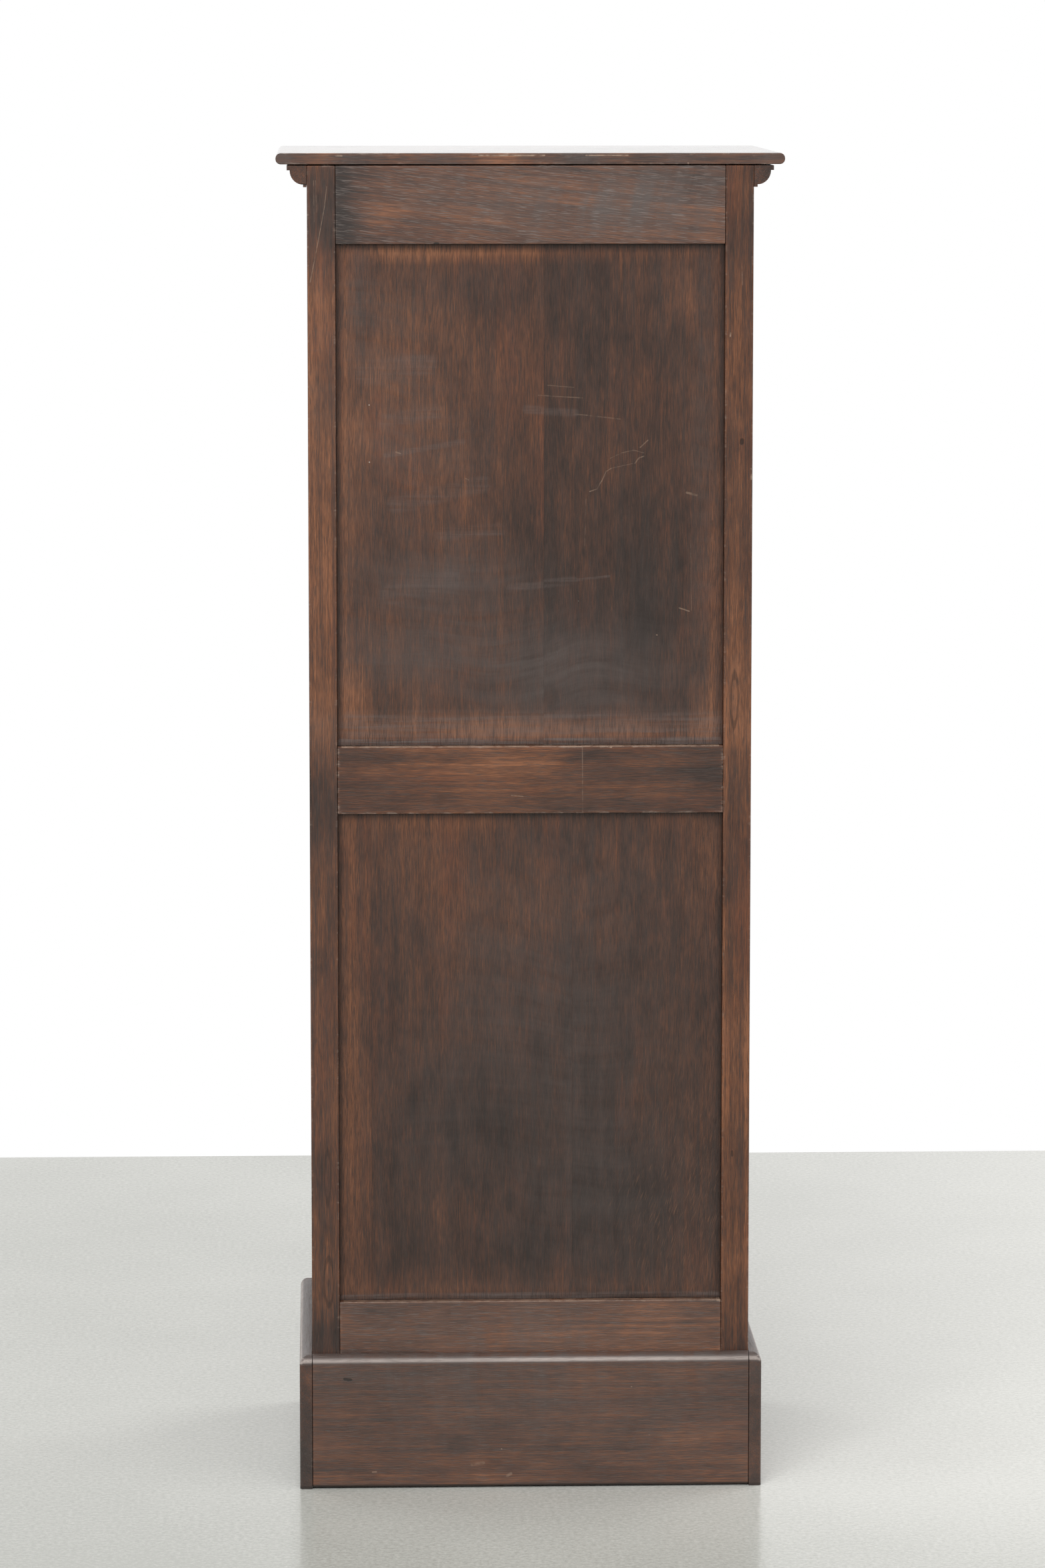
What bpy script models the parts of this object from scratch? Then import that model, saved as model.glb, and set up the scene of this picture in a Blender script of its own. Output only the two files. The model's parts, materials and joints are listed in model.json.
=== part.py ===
"""Tall oak tambour cabinet: a panelled carcass on a plinth, a roll shutter above and three drawers below.

Metres, +Z up. The front faces -Y and the panelled back faces +Y. Left and right are as seen from the
front. The origin is on the floor, in the middle of the cabinet's outline.
"""

import math

import bmesh
import bpy
from mathutils import Matrix, Vector

# Whole cabinet
HEIGHT = 1.400
CARCASS_WIDTH = 0.460
CARCASS_DEPTH = 0.370

# Clearances
FIT = 0.0003  # between pieces that touch
RUN = 0.0008  # on each side of a piece that slides
CUT = 0.002  # how far a cutter reaches past the face that it opens

# Top board and cornice
TOP_THICKNESS = 0.0115
TOP_OVERHANG = 0.032  # at the front and the sides, none at the back
TOP_ROUND = 0.0054
TOP_SHADOW_GAP = 0.0012  # between the top board and the frame
CORNICE_PROJECTION = 0.0205
CORNICE_HEIGHT = 0.022
CORNICE_FILLET = 0.0048
CORNICE_STEP = 0.003
CORNICE_FOOT_PROJECTION = 0.0035
CORNICE_FOOT_HEIGHT = 0.0026

# Frame of posts, rails and panels
POST_WIDTH = 0.029
POST_DEPTH = 0.045
RAIL_THICKNESS = 0.022
TOP_RAIL_HEIGHT = 0.0803
MIDDLE_RAIL_TOP = 0.7865
MIDDLE_RAIL_HEIGHT = 0.0705
BOTTOM_RAIL_TOP = 0.198
BOTTOM_RAIL_HEIGHT = 0.088
TENON_LENGTH = 0.015
TENON_INSET = 0.008  # from the face of the rail
TENON_THICKNESS = 0.010
TENON_SHOULDER = 0.010
PANEL_RECESS = 0.009
PANEL_THICKNESS = 0.008
PANEL_GROOVE = 0.008
PANEL_PLAY = 0.001  # room for the panel to swell in its groove

# Plinth
PLINTH_HEIGHT = 0.143
PLINTH_THICKNESS = 0.0133
PLINTH_ROUND = 0.010
PLINTH_BACK_LIFT = 0.0015

# Front rails and inner boards
FRONT_RAIL_THICKNESS = 0.020
FRONT_BOTTOM_RAIL_TOP = 0.160
FRONT_BOTTOM_RAIL_HEIGHT = 0.050
CHEEK_THICKNESS = 0.014
BOARD_THICKNESS = 0.012
HOUSING_DEPTH = 0.005  # how far a board is let into the cheeks
SHELF_TOP = 1.056
INNER_CEILING_THICKNESS = 0.010
INNER_BACK_THICKNESS = 0.006

# Shutter and its track
SLAT_THICKNESS = 0.008
SLAT_PITCH = 0.026
SLAT_ROUND = 0.003
TRACK_DEPTH = 0.008
TRACK_END_PLAY = 0.0015
TRACK_PLAY = 0.0005
TRACK_SETBACK = 0.034  # from the carcass front to the middle of the front run
TRACK_HEADROOM = 0.0135  # from the top board down to the middle of the top run
TRACK_BACK_WALL = 0.008  # wood behind the rear run
TRACK_BEND = 0.045
TRACK_END_LEVEL = 0.010  # foot of the rear run above the sill
TRACK_ROOM = 0.004  # free space between the curtain and the boards inside its path
LEAD_RAIL_HEIGHT = 0.048
LEAD_RAIL_THICKNESS = 0.018
LEAD_RAIL_TONGUE_INSET = 0.004
TAIL_SLAT_HEIGHT = 0.026
SHUTTER_KNOB_SPREAD = 0.220
SHUTTER_KNOB_LEVEL = 0.018
SHUTTER_KNOB_RADIUS = 0.0105
SHUTTER_KNOB_LENGTH = 0.021
SHUTTER_KNOB_HEAD = 0.0125  # length of its round head

# Lock in the lead rail
LOCK_PLATE_WIDTH = 0.016
LOCK_PLATE_HEIGHT = 0.026
LOCK_PLATE_THICKNESS = 0.0012
KEYHOLE_RADIUS = 0.0033
KEY_SHANK_RADIUS = 0.0024
KEY_REACH = 0.016  # from the lead rail's face to the bow
KEY_BOW_RADIUS = 0.0075
KEY_BOW_WIRE = 0.0016
KEY_BIT_LENGTH = 0.006
KEY_BIT_HEIGHT = 0.003
KEY_BIT_THICKNESS = 0.002
LOCK_FRONT_WALL = 0.004
BOLT_WIDTH = 0.014
BOLT_THICKNESS = 0.005
BOLT_LENGTH = 0.025
BOLT_RETREAT = 0.0015  # above the lead rail's foot when unlocked
LOCK_ROOM = 0.0006  # round the key's bit

# Drawers
DRAWER_COUNT = 3
DRAWER_GAP = 0.0012  # round a drawer front
DRAWER_SETBACK = 0.001
DRAWER_FRONT_THICKNESS = 0.018
DRAWER_BACK_ROOM = 0.0284  # from the drawer box to the frame of the back
DRAWER_WALL = 0.010
DRAWER_HEADROOM = 0.020
DRAWER_LIFT = 0.0005
DRAWER_BOTTOM_THICKNESS = 0.005
DRAWER_BOTTOM_LEVEL = 0.008
DRAWER_BOTTOM_GROOVE = 0.004
DRAWER_KNOB_RADIUS = 0.0145
DRAWER_KNOB_LENGTH = 0.028
DRAWER_KNOB_HEAD = 0.017  # length of its round head

# Foot of every knob
KNOB_NECK_RADIUS = 0.0064
KNOB_COLLAR_RADIUS = 0.0088
KNOB_COLLAR_HEIGHT = 0.002
SPIGOT_RADIUS = 0.004
SPIGOT_LENGTH = 0.010

# How finely round shapes are cut
BEND_STEPS = 8
ROUND_STEPS = 5
REED_STEPS = 6
TURN_STEPS = 16

# Places that follow from the sizes
HALF_WIDTH = CARCASS_WIDTH / 2
FRONT = (TOP_OVERHANG - PLINTH_THICKNESS - CARCASS_DEPTH) / 2
BACK = FRONT + CARCASS_DEPTH
TOP_UNDERSIDE = HEIGHT - TOP_THICKNESS
FRAME_TOP = TOP_UNDERSIDE - TOP_SHADOW_GAP
OPENING_HALF = HALF_WIDTH - POST_WIDTH
INNER_HALF = OPENING_HALF - CHEEK_THICKNESS
SIDE_FRONT = FRONT + POST_DEPTH
SIDE_BACK = BACK - POST_DEPTH
CHEEK_FRONT = FRONT + FRONT_RAIL_THICKNESS + FIT
CHEEK_BACK = BACK - RAIL_THICKNESS - FIT
CHEEK_BOTTOM = FRONT_BOTTOM_RAIL_TOP - FRONT_BOTTOM_RAIL_HEIGHT
SILL = MIDDLE_RAIL_TOP
MIDDLE_RAIL_BOTTOM = MIDDLE_RAIL_TOP - MIDDLE_RAIL_HEIGHT
TOP_RAIL_BOTTOM = FRAME_TOP - TOP_RAIL_HEIGHT
BOTTOM_RAIL_BOTTOM = BOTTOM_RAIL_TOP - BOTTOM_RAIL_HEIGHT

TRACK_FRONT = FRONT + TRACK_SETBACK
TRACK_BACK = CHEEK_BACK - TRACK_BACK_WALL - SLAT_THICKNESS / 2
TRACK_TOP = TOP_UNDERSIDE - TRACK_HEADROOM
TRACK_BEND_LEVEL = TRACK_TOP - TRACK_BEND
FRONT_RUN = TRACK_BEND_LEVEL - SILL
BEND_RUN = math.pi / 2 * TRACK_BEND
TOP_RUN = TRACK_BACK - TRACK_FRONT - 2 * TRACK_BEND
REAR_RUN_START = FRONT_RUN + 2 * BEND_RUN + TOP_RUN
TRACK_LENGTH = REAR_RUN_START + TRACK_BEND_LEVEL - SILL - TRACK_END_LEVEL
CURTAIN_HALF = INNER_HALF + TRACK_DEPTH - TRACK_END_PLAY
LEAD_RAIL_FACE = TRACK_FRONT - LEAD_RAIL_THICKNESS / 2
LEAD_RAIL_BACK = TRACK_FRONT + LEAD_RAIL_THICKNESS / 2
INNER_BACK_REAR = TRACK_BACK - SLAT_THICKNESS / 2 - TRACK_ROOM
INNER_BACK_FACE = INNER_BACK_REAR - INNER_BACK_THICKNESS
INNER_FRONT = LEAD_RAIL_BACK + TRACK_ROOM
INNER_CEILING_TOP = TRACK_BEND_LEVEL - TRACK_ROOM
LOCK_LEVEL = SILL + SHUTTER_KNOB_LEVEL
BIT_FACE = LEAD_RAIL_FACE + LOCK_FRONT_WALL + LOCK_ROOM
BOLT_FACE = BIT_FACE + KEY_BIT_THICKNESS + LOCK_ROOM
DRAWER_FLOOR = FRONT_BOTTOM_RAIL_TOP
DRAWER_PITCH = (MIDDLE_RAIL_BOTTOM - DRAWER_FLOOR + BOARD_THICKNESS) / DRAWER_COUNT
DRAWER_FACE = FRONT + DRAWER_SETBACK
DRAWER_FRONT_BACK = DRAWER_FACE + DRAWER_FRONT_THICKNESS
DRAWER_BOX_FRONT = DRAWER_FRONT_BACK + FIT
DRAWER_BOX_DEPTH = CHEEK_BACK - DRAWER_BACK_ROOM - DRAWER_BOX_FRONT

# The side from which an outline is drawn: its x goes to the right, its y up, its thickness to the viewer
SEEN_FROM_ABOVE = Matrix.Identity(4)
SEEN_FROM_FRONT = Matrix(((1, 0, 0, 0), (0, 0, -1, 0), (0, 1, 0, 0), (0, 0, 0, 1)))
SEEN_FROM_BACK = Matrix(((-1, 0, 0, 0), (0, 0, 1, 0), (0, 1, 0, 0), (0, 0, 0, 1)))
SEEN_FROM_RIGHT = Matrix(((0, 0, 1, 0), (1, 0, 0, 0), (0, 1, 0, 0), (0, 0, 0, 1)))
SEEN_FROM_LEFT = Matrix(((0, 0, -1, 0), (-1, 0, 0, 0), (0, 1, 0, 0), (0, 0, 0, 1)))


# Scene and materials


def clear_scene():
    for obj in list(bpy.data.objects):
        bpy.data.objects.remove(obj, do_unlink=True)


def add_collection(name):
    collection = bpy.data.collections.new(name)
    bpy.context.scene.collection.children.link(collection)
    return collection


def add_material(name, colour, roughness, metallic=0.0):
    material = bpy.data.materials.new(name)
    material.use_nodes = True
    shader = material.node_tree.nodes["Principled BSDF"]
    shader.inputs["Base Color"].default_value = (*colour, 1.0)
    shader.inputs["Roughness"].default_value = roughness
    shader.inputs["Metallic"].default_value = metallic
    return material


clear_scene()
CABINET = add_collection("tambour_cabinet")
HELPERS = add_collection("cutters")
DARK_OAK = add_material("dark_oak", (0.076, 0.038, 0.028), 0.45)
INNER_OAK = add_material("inner_oak", (0.19, 0.10, 0.055), 0.55)
DRAWER_WOOD = add_material("drawer_wood", (0.33, 0.20, 0.11), 0.6)
BRASS = add_material("aged_brass", (0.36, 0.24, 0.09), 0.4, 1.0)
STEEL = add_material("lock_steel", (0.28, 0.27, 0.26), 0.4, 1.0)


# Ways to make a solid


def add_object(name, mesh, material):
    obj = bpy.data.objects.new(name, mesh)
    if material:
        mesh.materials.append(material)
        CABINET.objects.link(obj)
    else:
        HELPERS.objects.link(obj)
        obj.hide_render = True
        obj.display_type = "WIRE"
    return obj


def finish_mesh(name, bm):
    bmesh.ops.recalc_face_normals(bm, faces=bm.faces)
    mesh = bpy.data.meshes.new(name)
    bm.to_mesh(mesh)
    bm.free()
    return mesh


def add_box(name, low, high, material=None):
    """A board between two corners, with its origin in its middle."""
    low = Vector(low)
    high = Vector(high)
    bm = bmesh.new()
    bmesh.ops.create_cube(bm, size=1.0, matrix=Matrix.Diagonal((*(high - low), 1.0)))
    obj = add_object(name, finish_mesh(name, bm), material)
    obj.location = (low + high) / 2
    return obj


def side_of(face):
    """The side of a board that a face is on, such as "+z"."""
    axis = max(range(3), key=lambda i: abs(face.normal[i]))
    return ("+" if face.normal[axis] > 0 else "-") + "xyz"[axis]


def round_edges(obj, pairs, radius):
    """Rounds the edges where the named pairs of sides meet."""
    bm = bmesh.new()
    bm.from_mesh(obj.data)
    bm.normal_update()
    wanted = [set(pair) for pair in pairs]
    edges = [edge for edge in bm.edges if {side_of(face) for face in edge.link_faces} in wanted]
    bmesh.ops.bevel(
        bm, geom=edges, offset=radius, segments=ROUND_STEPS, profile=0.5, affect="EDGES", clamp_overlap=True
    )
    bm.to_mesh(obj.data)
    bm.free()


def add_outline(name, loops, low, high, view, material=None):
    """A flat outline, with holes as further loops, that reaches from low to high across its plane."""
    curve = bpy.data.curves.new(name, "CURVE")
    curve.dimensions = "2D"
    curve.fill_mode = "BOTH"
    curve.extrude = (high - low) / 2
    for loop in loops:
        spline = curve.splines.new("POLY")
        spline.points.add(len(loop) - 1)
        for point, (x, y) in zip(spline.points, loop):
            point.co = (x, y, 0.0, 1.0)
        spline.use_cyclic_u = True
    drawn = bpy.data.objects.new(name + "_curve", curve)
    HELPERS.objects.link(drawn)
    drawn.matrix_world = view @ Matrix.Translation((0.0, 0.0, (low + high) / 2))
    bpy.context.view_layer.update()
    evaluated = drawn.evaluated_get(bpy.context.evaluated_depsgraph_get())
    mesh = bpy.data.meshes.new_from_object(evaluated)
    bm = bmesh.new()
    bm.from_mesh(mesh)
    bmesh.ops.remove_doubles(bm, verts=bm.verts, dist=0.00001)
    obj = add_object(name, finish_mesh(name, bm), material)
    obj.matrix_world = drawn.matrix_world
    bpy.data.objects.remove(drawn, do_unlink=True)
    bpy.data.meshes.remove(mesh)
    return obj


def add_rod(name, radius, centre, front, back, material=None):
    """A round rod along Y, with its origin at its front end."""
    bm = bmesh.new()
    turn = Matrix.Rotation(-math.pi / 2, 4, "X")
    middle = Matrix.Translation((0.0, (back - front) / 2, 0.0))
    bmesh.ops.create_cone(
        bm,
        cap_ends=True,
        segments=TURN_STEPS,
        radius1=radius,
        radius2=radius,
        depth=back - front,
        matrix=middle @ turn,
    )
    obj = add_object(name, finish_mesh(name, bm), material)
    obj.location = (centre[0], front, centre[1])
    return obj


def combine(obj, helper, operation):
    modifier = obj.modifiers.new(helper.name, "BOOLEAN")
    modifier.operation = operation
    modifier.solver = "EXACT"
    modifier.object = helper


def cut(obj, helper):
    combine(obj, helper, "DIFFERENCE")


def join(obj, helper):
    combine(obj, helper, "UNION")


def add_moving(name, place, pieces):
    """An empty on the joint's axis, which carries the pieces that move with it."""
    empty = bpy.data.objects.new(name, None)
    CABINET.objects.link(empty)
    empty.location = place
    for piece in pieces:
        piece.parent = empty
        piece.location -= Vector(place)
    return empty


# Top board and cornice


def make_top_board():
    half = HALF_WIDTH + TOP_OVERHANG
    low = (-half, FRONT - TOP_OVERHANG, TOP_UNDERSIDE)
    high = (half, BACK, HEIGHT)
    board = add_box("top_board", low, high, DARK_OAK)
    rounded = [("+x", "-y"), ("-x", "-y")]
    for side in ("+x", "-x", "-y"):
        rounded += [(side, "+z"), (side, "-z")]
    round_edges(board, rounded, TOP_ROUND)


def cornice_profile():
    """Projection and height of the moulding: a fillet, a quarter round and a small foot."""
    reach = CORNICE_PROJECTION - CORNICE_STEP - CORNICE_FOOT_PROJECTION
    drop = CORNICE_HEIGHT - CORNICE_FILLET - CORNICE_FOOT_HEIGHT
    fillet_foot = FRAME_TOP - CORNICE_FILLET
    points = [(FIT, FRAME_TOP), (CORNICE_PROJECTION, FRAME_TOP), (CORNICE_PROJECTION, fillet_foot)]
    for step in range(BEND_STEPS + 1):
        angle = math.pi / 2 * step / BEND_STEPS
        out = CORNICE_FOOT_PROJECTION + reach * math.cos(angle)
        points.append((out, fillet_foot - drop * math.sin(angle)))
    foot = FRAME_TOP - CORNICE_HEIGHT
    return points + [(CORNICE_FOOT_PROJECTION, foot), (FIT, foot)]


def mitre(obj, place, ends):
    """Slants the ends of a moulding, so that it grows longer as it stands out from the carcass."""
    for vertex in obj.data.vertices:
        end = 1 if vertex.co.z > 0 else -1
        if end in ends:
            vertex.co.z += end * (vertex.co.x - FIT / 2)
    obj.matrix_world = Matrix.Translation(place) @ obj.matrix_world


def make_cornice():
    profile = [cornice_profile()]
    front = add_outline("cornice_front", profile, -HALF_WIDTH, HALF_WIDTH, SEEN_FROM_LEFT, DARK_OAK)
    mitre(front, (0.0, FRONT, 0.0), (1, -1))
    right = add_outline("cornice_right", profile, -BACK, -FRONT, SEEN_FROM_FRONT, DARK_OAK)
    mitre(right, (HALF_WIDTH, 0.0, 0.0), (1,))
    left = add_outline("cornice_left", profile, FRONT, BACK, SEEN_FROM_BACK, DARK_OAK)
    mitre(left, (-HALF_WIDTH, 0.0, 0.0), (-1,))


# Frame of posts, rails and panels


def make_posts():
    posts = {}
    for side, sign in (("left", -1), ("right", 1)):
        xs = sorted((sign * OPENING_HALF, sign * HALF_WIDTH))
        for end, low_y, high_y in (("front", FRONT, SIDE_FRONT), ("back", SIDE_BACK, BACK)):
            name = f"post_{end}_{side}"
            posts[end, side] = add_box(name, (xs[0], low_y, 0.0), (xs[1], high_y, FRAME_TOP), DARK_OAK)
    return posts


def back_face(along, depth):
    return along, BACK - depth


def front_face(along, depth):
    return along, FRONT + depth


def left_face(along, depth):
    return -HALF_WIDTH + depth, along


def right_face(along, depth):
    return HALF_WIDTH - depth, along


def box_on(face, name, along, depth, level, material=None):
    """A box given by its reach along a face, in from it and up it."""
    first = face(along[0], depth[0])
    second = face(along[1], depth[1])
    low = (min(first[0], second[0]), min(first[1], second[1]), level[0])
    high = (max(first[0], second[0]), max(first[1], second[1]), level[1])
    return add_box(name, low, high, material)


def grown(span, by):
    return span[0] - by, span[1] + by


def make_rail(face, name, span, thickness, level, posts):
    """A rail between two posts, with a tenon at each end and the mortises for them."""
    rail = box_on(face, name, grown(span, -FIT), (0.0, thickness), level, DARK_OAK)
    depth = (TENON_INSET, TENON_INSET + TENON_THICKNESS)
    height = grown(level, -TENON_SHOULDER)
    join(rail, box_on(face, name + "_tenons", grown(span, TENON_LENGTH), depth, height))
    reach = grown(span, TENON_LENGTH + FIT)
    mortise = box_on(face, name + "_mortises", reach, grown(depth, FIT), grown(height, FIT))
    for post in posts:
        cut(post, mortise)
    return rail


def make_panel(face, name, span, level, holders):
    """A flat panel, and the groove for it in the posts and rails around it."""
    depth = (PANEL_RECESS, PANEL_RECESS + PANEL_THICKNESS)
    reach = PANEL_GROOVE - PANEL_PLAY
    box_on(face, name, grown(span, reach), depth, grown(level, reach), DARK_OAK)
    groove = box_on(
        face, name + "_groove", grown(span, PANEL_GROOVE), grown(depth, FIT), grown(level, PANEL_GROOVE)
    )
    for holder in holders:
        cut(holder, groove)


def make_panelled_side(side, face, span, posts):
    levels = {
        "top": (TOP_RAIL_BOTTOM, FRAME_TOP),
        "middle": (MIDDLE_RAIL_BOTTOM, MIDDLE_RAIL_TOP),
        "bottom": (BOTTOM_RAIL_BOTTOM, BOTTOM_RAIL_TOP),
    }
    rails = {
        place: make_rail(face, f"{side}_{place}_rail", span, RAIL_THICKNESS, level, posts)
        for place, level in levels.items()
    }
    for name, over, under in (("upper", "top", "middle"), ("lower", "middle", "bottom")):
        level = (levels[under][1], levels[over][0])
        make_panel(face, f"{side}_{name}_panel", span, level, [*posts, rails[over], rails[under]])


def make_frame():
    posts = make_posts()
    across = (-OPENING_HALF, OPENING_HALF)
    along = (SIDE_FRONT, SIDE_BACK)
    make_panelled_side("back", back_face, across, [posts["back", "left"], posts["back", "right"]])
    make_panelled_side("left", left_face, along, [posts["front", "left"], posts["back", "left"]])
    make_panelled_side("right", right_face, along, [posts["front", "right"], posts["back", "right"]])
    front_posts = [posts["front", "left"], posts["front", "right"]]
    front_rails = (
        ("front_lintel", TOP_RAIL_BOTTOM, FRAME_TOP),
        ("front_middle_rail", MIDDLE_RAIL_BOTTOM, MIDDLE_RAIL_TOP),
        ("front_bottom_rail", CHEEK_BOTTOM, FRONT_BOTTOM_RAIL_TOP),
    )
    for name, low, high in front_rails:
        make_rail(front_face, name, across, FRONT_RAIL_THICKNESS, (low, high), front_posts)


# Plinth


def make_plinth():
    outer = HALF_WIDTH + PLINTH_THICKNESS
    front = add_box(
        "plinth_front", (-outer, FRONT - PLINTH_THICKNESS, 0.0), (outer, FRONT - FIT, PLINTH_HEIGHT), DARK_OAK
    )
    round_edges(front, [("-y", "+z"), ("+x", "+z"), ("-x", "+z")], PLINTH_ROUND)
    inner = HALF_WIDTH - FIT
    back = add_box(
        "plinth_back",
        (-inner, BACK + FIT, PLINTH_BACK_LIFT),
        (inner, BACK + PLINTH_THICKNESS, PLINTH_HEIGHT),
        DARK_OAK,
    )
    round_edges(back, [("+y", "+z")], PLINTH_ROUND)
    for side, sign, out in (("left", -1, "-x"), ("right", 1, "+x")):
        xs = sorted((sign * (HALF_WIDTH + FIT), sign * outer))
        low = (xs[0], FRONT, 0.0)
        high = (xs[1], BACK + PLINTH_THICKNESS, PLINTH_HEIGHT)
        board = add_box(f"plinth_{side}", low, high, DARK_OAK)
        round_edges(board, [(out, "+z"), ("+y", "+z")], PLINTH_ROUND)


# Shutter track and inner boards


def track_point(distance, out):
    """A point (y, z) this far along the shutter's path from the sill, and this far outside it."""
    if distance <= FRONT_RUN:
        return TRACK_FRONT - out, SILL + distance
    radius = TRACK_BEND + out
    distance -= FRONT_RUN
    if distance <= BEND_RUN:
        angle = distance / TRACK_BEND
        return (
            TRACK_FRONT + TRACK_BEND - radius * math.cos(angle),
            TRACK_BEND_LEVEL + radius * math.sin(angle),
        )
    distance -= BEND_RUN
    if distance <= TOP_RUN:
        return TRACK_FRONT + TRACK_BEND + distance, TRACK_TOP + out
    distance -= TOP_RUN
    if distance <= BEND_RUN:
        angle = distance / TRACK_BEND
        return (
            TRACK_BACK - TRACK_BEND + radius * math.sin(angle),
            TRACK_BEND_LEVEL + radius * math.cos(angle),
        )
    return TRACK_BACK + out, TRACK_BEND_LEVEL - (distance - BEND_RUN)


def track_stops(start, end):
    """Distances where a band along the path needs a point: its ends and steps round both bends."""
    stops = []
    for bend_start in (FRONT_RUN, FRONT_RUN + BEND_RUN + TOP_RUN):
        stops += [bend_start + BEND_RUN * step / BEND_STEPS for step in range(BEND_STEPS + 1)]
    return [start] + [stop for stop in stops if start < stop < end] + [end]


def track_groove():
    """Outline of the groove, which runs a little below the sill at the front."""
    stops = track_stops(-CUT, TRACK_LENGTH)
    half = SLAT_THICKNESS / 2 + TRACK_PLAY
    outside = [track_point(stop, half) for stop in stops]
    inside = [track_point(stop, -half) for stop in reversed(stops)]
    return outside + inside


def make_cheeks():
    cheeks = []
    for side, sign in (("left", -1), ("right", 1)):
        xs = sorted((sign * INNER_HALF, sign * (OPENING_HALF - FIT)))
        low = (xs[0], CHEEK_FRONT, CHEEK_BOTTOM)
        high = (xs[1], CHEEK_BACK, TOP_UNDERSIDE - FIT)
        cheek = add_box(f"cheek_{side}", low, high, INNER_OAK)
        span = sorted((sign * (INNER_HALF - CUT), sign * (INNER_HALF + TRACK_DEPTH)))
        cut(cheek, add_outline(f"track_groove_{side}", [track_groove()], *span, SEEN_FROM_RIGHT))
        cheeks.append(cheek)
    return cheeks


def make_housed_board(name, depth, level, cheeks, material=INNER_OAK):
    """A board from cheek to cheek, let into a housing in each."""
    half = INNER_HALF + HOUSING_DEPTH
    board = add_box(name, (FIT - half, depth[0], level[0]), (half - FIT, depth[1], level[1]), material)
    house_board(name, depth, level, cheeks)
    return board


def house_board(name, depth, level, cheeks):
    half = INNER_HALF + HOUSING_DEPTH
    depth = grown(depth, FIT)
    level = grown(level, FIT)
    housing = add_box(name + "_housing", (-half, depth[0], level[0]), (half, depth[1], level[1]))
    for cheek in cheeks:
        cut(cheek, housing)


def make_drawer_divider(name, top, cheeks):
    """A board between two drawers, wider at its front edge, where it shows between the posts."""
    wide = OPENING_HALF - FIT
    narrow = INNER_HALF + HOUSING_DEPTH - FIT
    face = FRONT + DRAWER_SETBACK
    shoulder = CHEEK_FRONT - FIT
    half = [(wide, face), (wide, shoulder), (narrow, shoulder), (narrow, CHEEK_BACK)]
    outline = half + [(-x, y) for x, y in reversed(half)]
    add_outline(name, [outline], top - BOARD_THICKNESS, top, SEEN_FROM_ABOVE, DARK_OAK)
    house_board(name, (CHEEK_FRONT, CHEEK_BACK), (top - BOARD_THICKNESS, top), cheeks)


def make_inner_boards(cheeks):
    whole_depth = (CHEEK_FRONT, CHEEK_BACK)
    make_housed_board("bottom_board", whole_depth, (DRAWER_FLOOR - BOARD_THICKNESS, DRAWER_FLOOR), cheeks)
    middle = make_housed_board("middle_board", whole_depth, (SILL - BOARD_THICKNESS, SILL), cheeks)
    cut(middle, bolt_space("sill_mortise", SILL - BOARD_THICKNESS - CUT, SILL + CUT))
    for number in range(1, DRAWER_COUNT):
        top = DRAWER_FLOOR + number * DRAWER_PITCH
        make_drawer_divider(f"drawer_divider_{number}", top, cheeks)
    inner_depth = (INNER_FRONT, INNER_BACK_FACE - FIT)
    make_housed_board("shelf", inner_depth, (SHELF_TOP - BOARD_THICKNESS, SHELF_TOP), cheeks)
    ceiling = (INNER_CEILING_TOP - INNER_CEILING_THICKNESS, INNER_CEILING_TOP)
    make_housed_board("inner_ceiling", (INNER_FRONT, INNER_BACK_REAR), ceiling, cheeks)
    half = INNER_HALF - FIT
    low = (-half, INNER_BACK_FACE, SILL + FIT)
    high = (half, INNER_BACK_REAR, ceiling[0] - FIT)
    add_box("inner_back", low, high, INNER_OAK)


# Turned knobs


def add_knob(name, radius, length, head, place):
    """A turned knob on a face that looks to the front, with a spigot in a hole behind it."""
    middle = length - head / 2
    last = -math.acos(min(1.0, KNOB_NECK_RADIUS / radius))
    profile = []
    for step in range(BEND_STEPS + 1):
        angle = math.pi / 2 + (last - math.pi / 2) * step / BEND_STEPS
        profile.append((radius * math.cos(angle), middle + head / 2 * math.sin(angle)))
    profile += [(KNOB_NECK_RADIUS, KNOB_COLLAR_HEIGHT), (KNOB_COLLAR_RADIUS, KNOB_COLLAR_HEIGHT)]
    profile += [(KNOB_COLLAR_RADIUS, FIT), (SPIGOT_RADIUS, FIT)]
    profile += [(SPIGOT_RADIUS, -SPIGOT_LENGTH), (0.0, -SPIGOT_LENGTH)]
    mesh = bpy.data.meshes.new(name)
    edges = [(i, i + 1) for i in range(len(profile) - 1)]
    mesh.from_pydata([(out, 0.0, along) for out, along in profile], edges, [])
    knob = add_object(name, mesh, DARK_OAK)
    knob.location = place
    knob.rotation_euler = (math.pi / 2, 0.0, 0.0)
    screw = knob.modifiers.new("turned", "SCREW")
    screw.steps = TURN_STEPS
    screw.render_steps = TURN_STEPS
    screw.use_merge_vertices = True
    screw.merge_threshold = 0.0001
    screw.use_smooth_shade = True
    return knob


def spigot_hole(name, place):
    radius = SPIGOT_RADIUS + FIT
    back = place[1] + SPIGOT_LENGTH + FIT
    return add_rod(name + "_hole", radius, (place[0], place[2]), place[1] - CUT, back)


# Shutter


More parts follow.
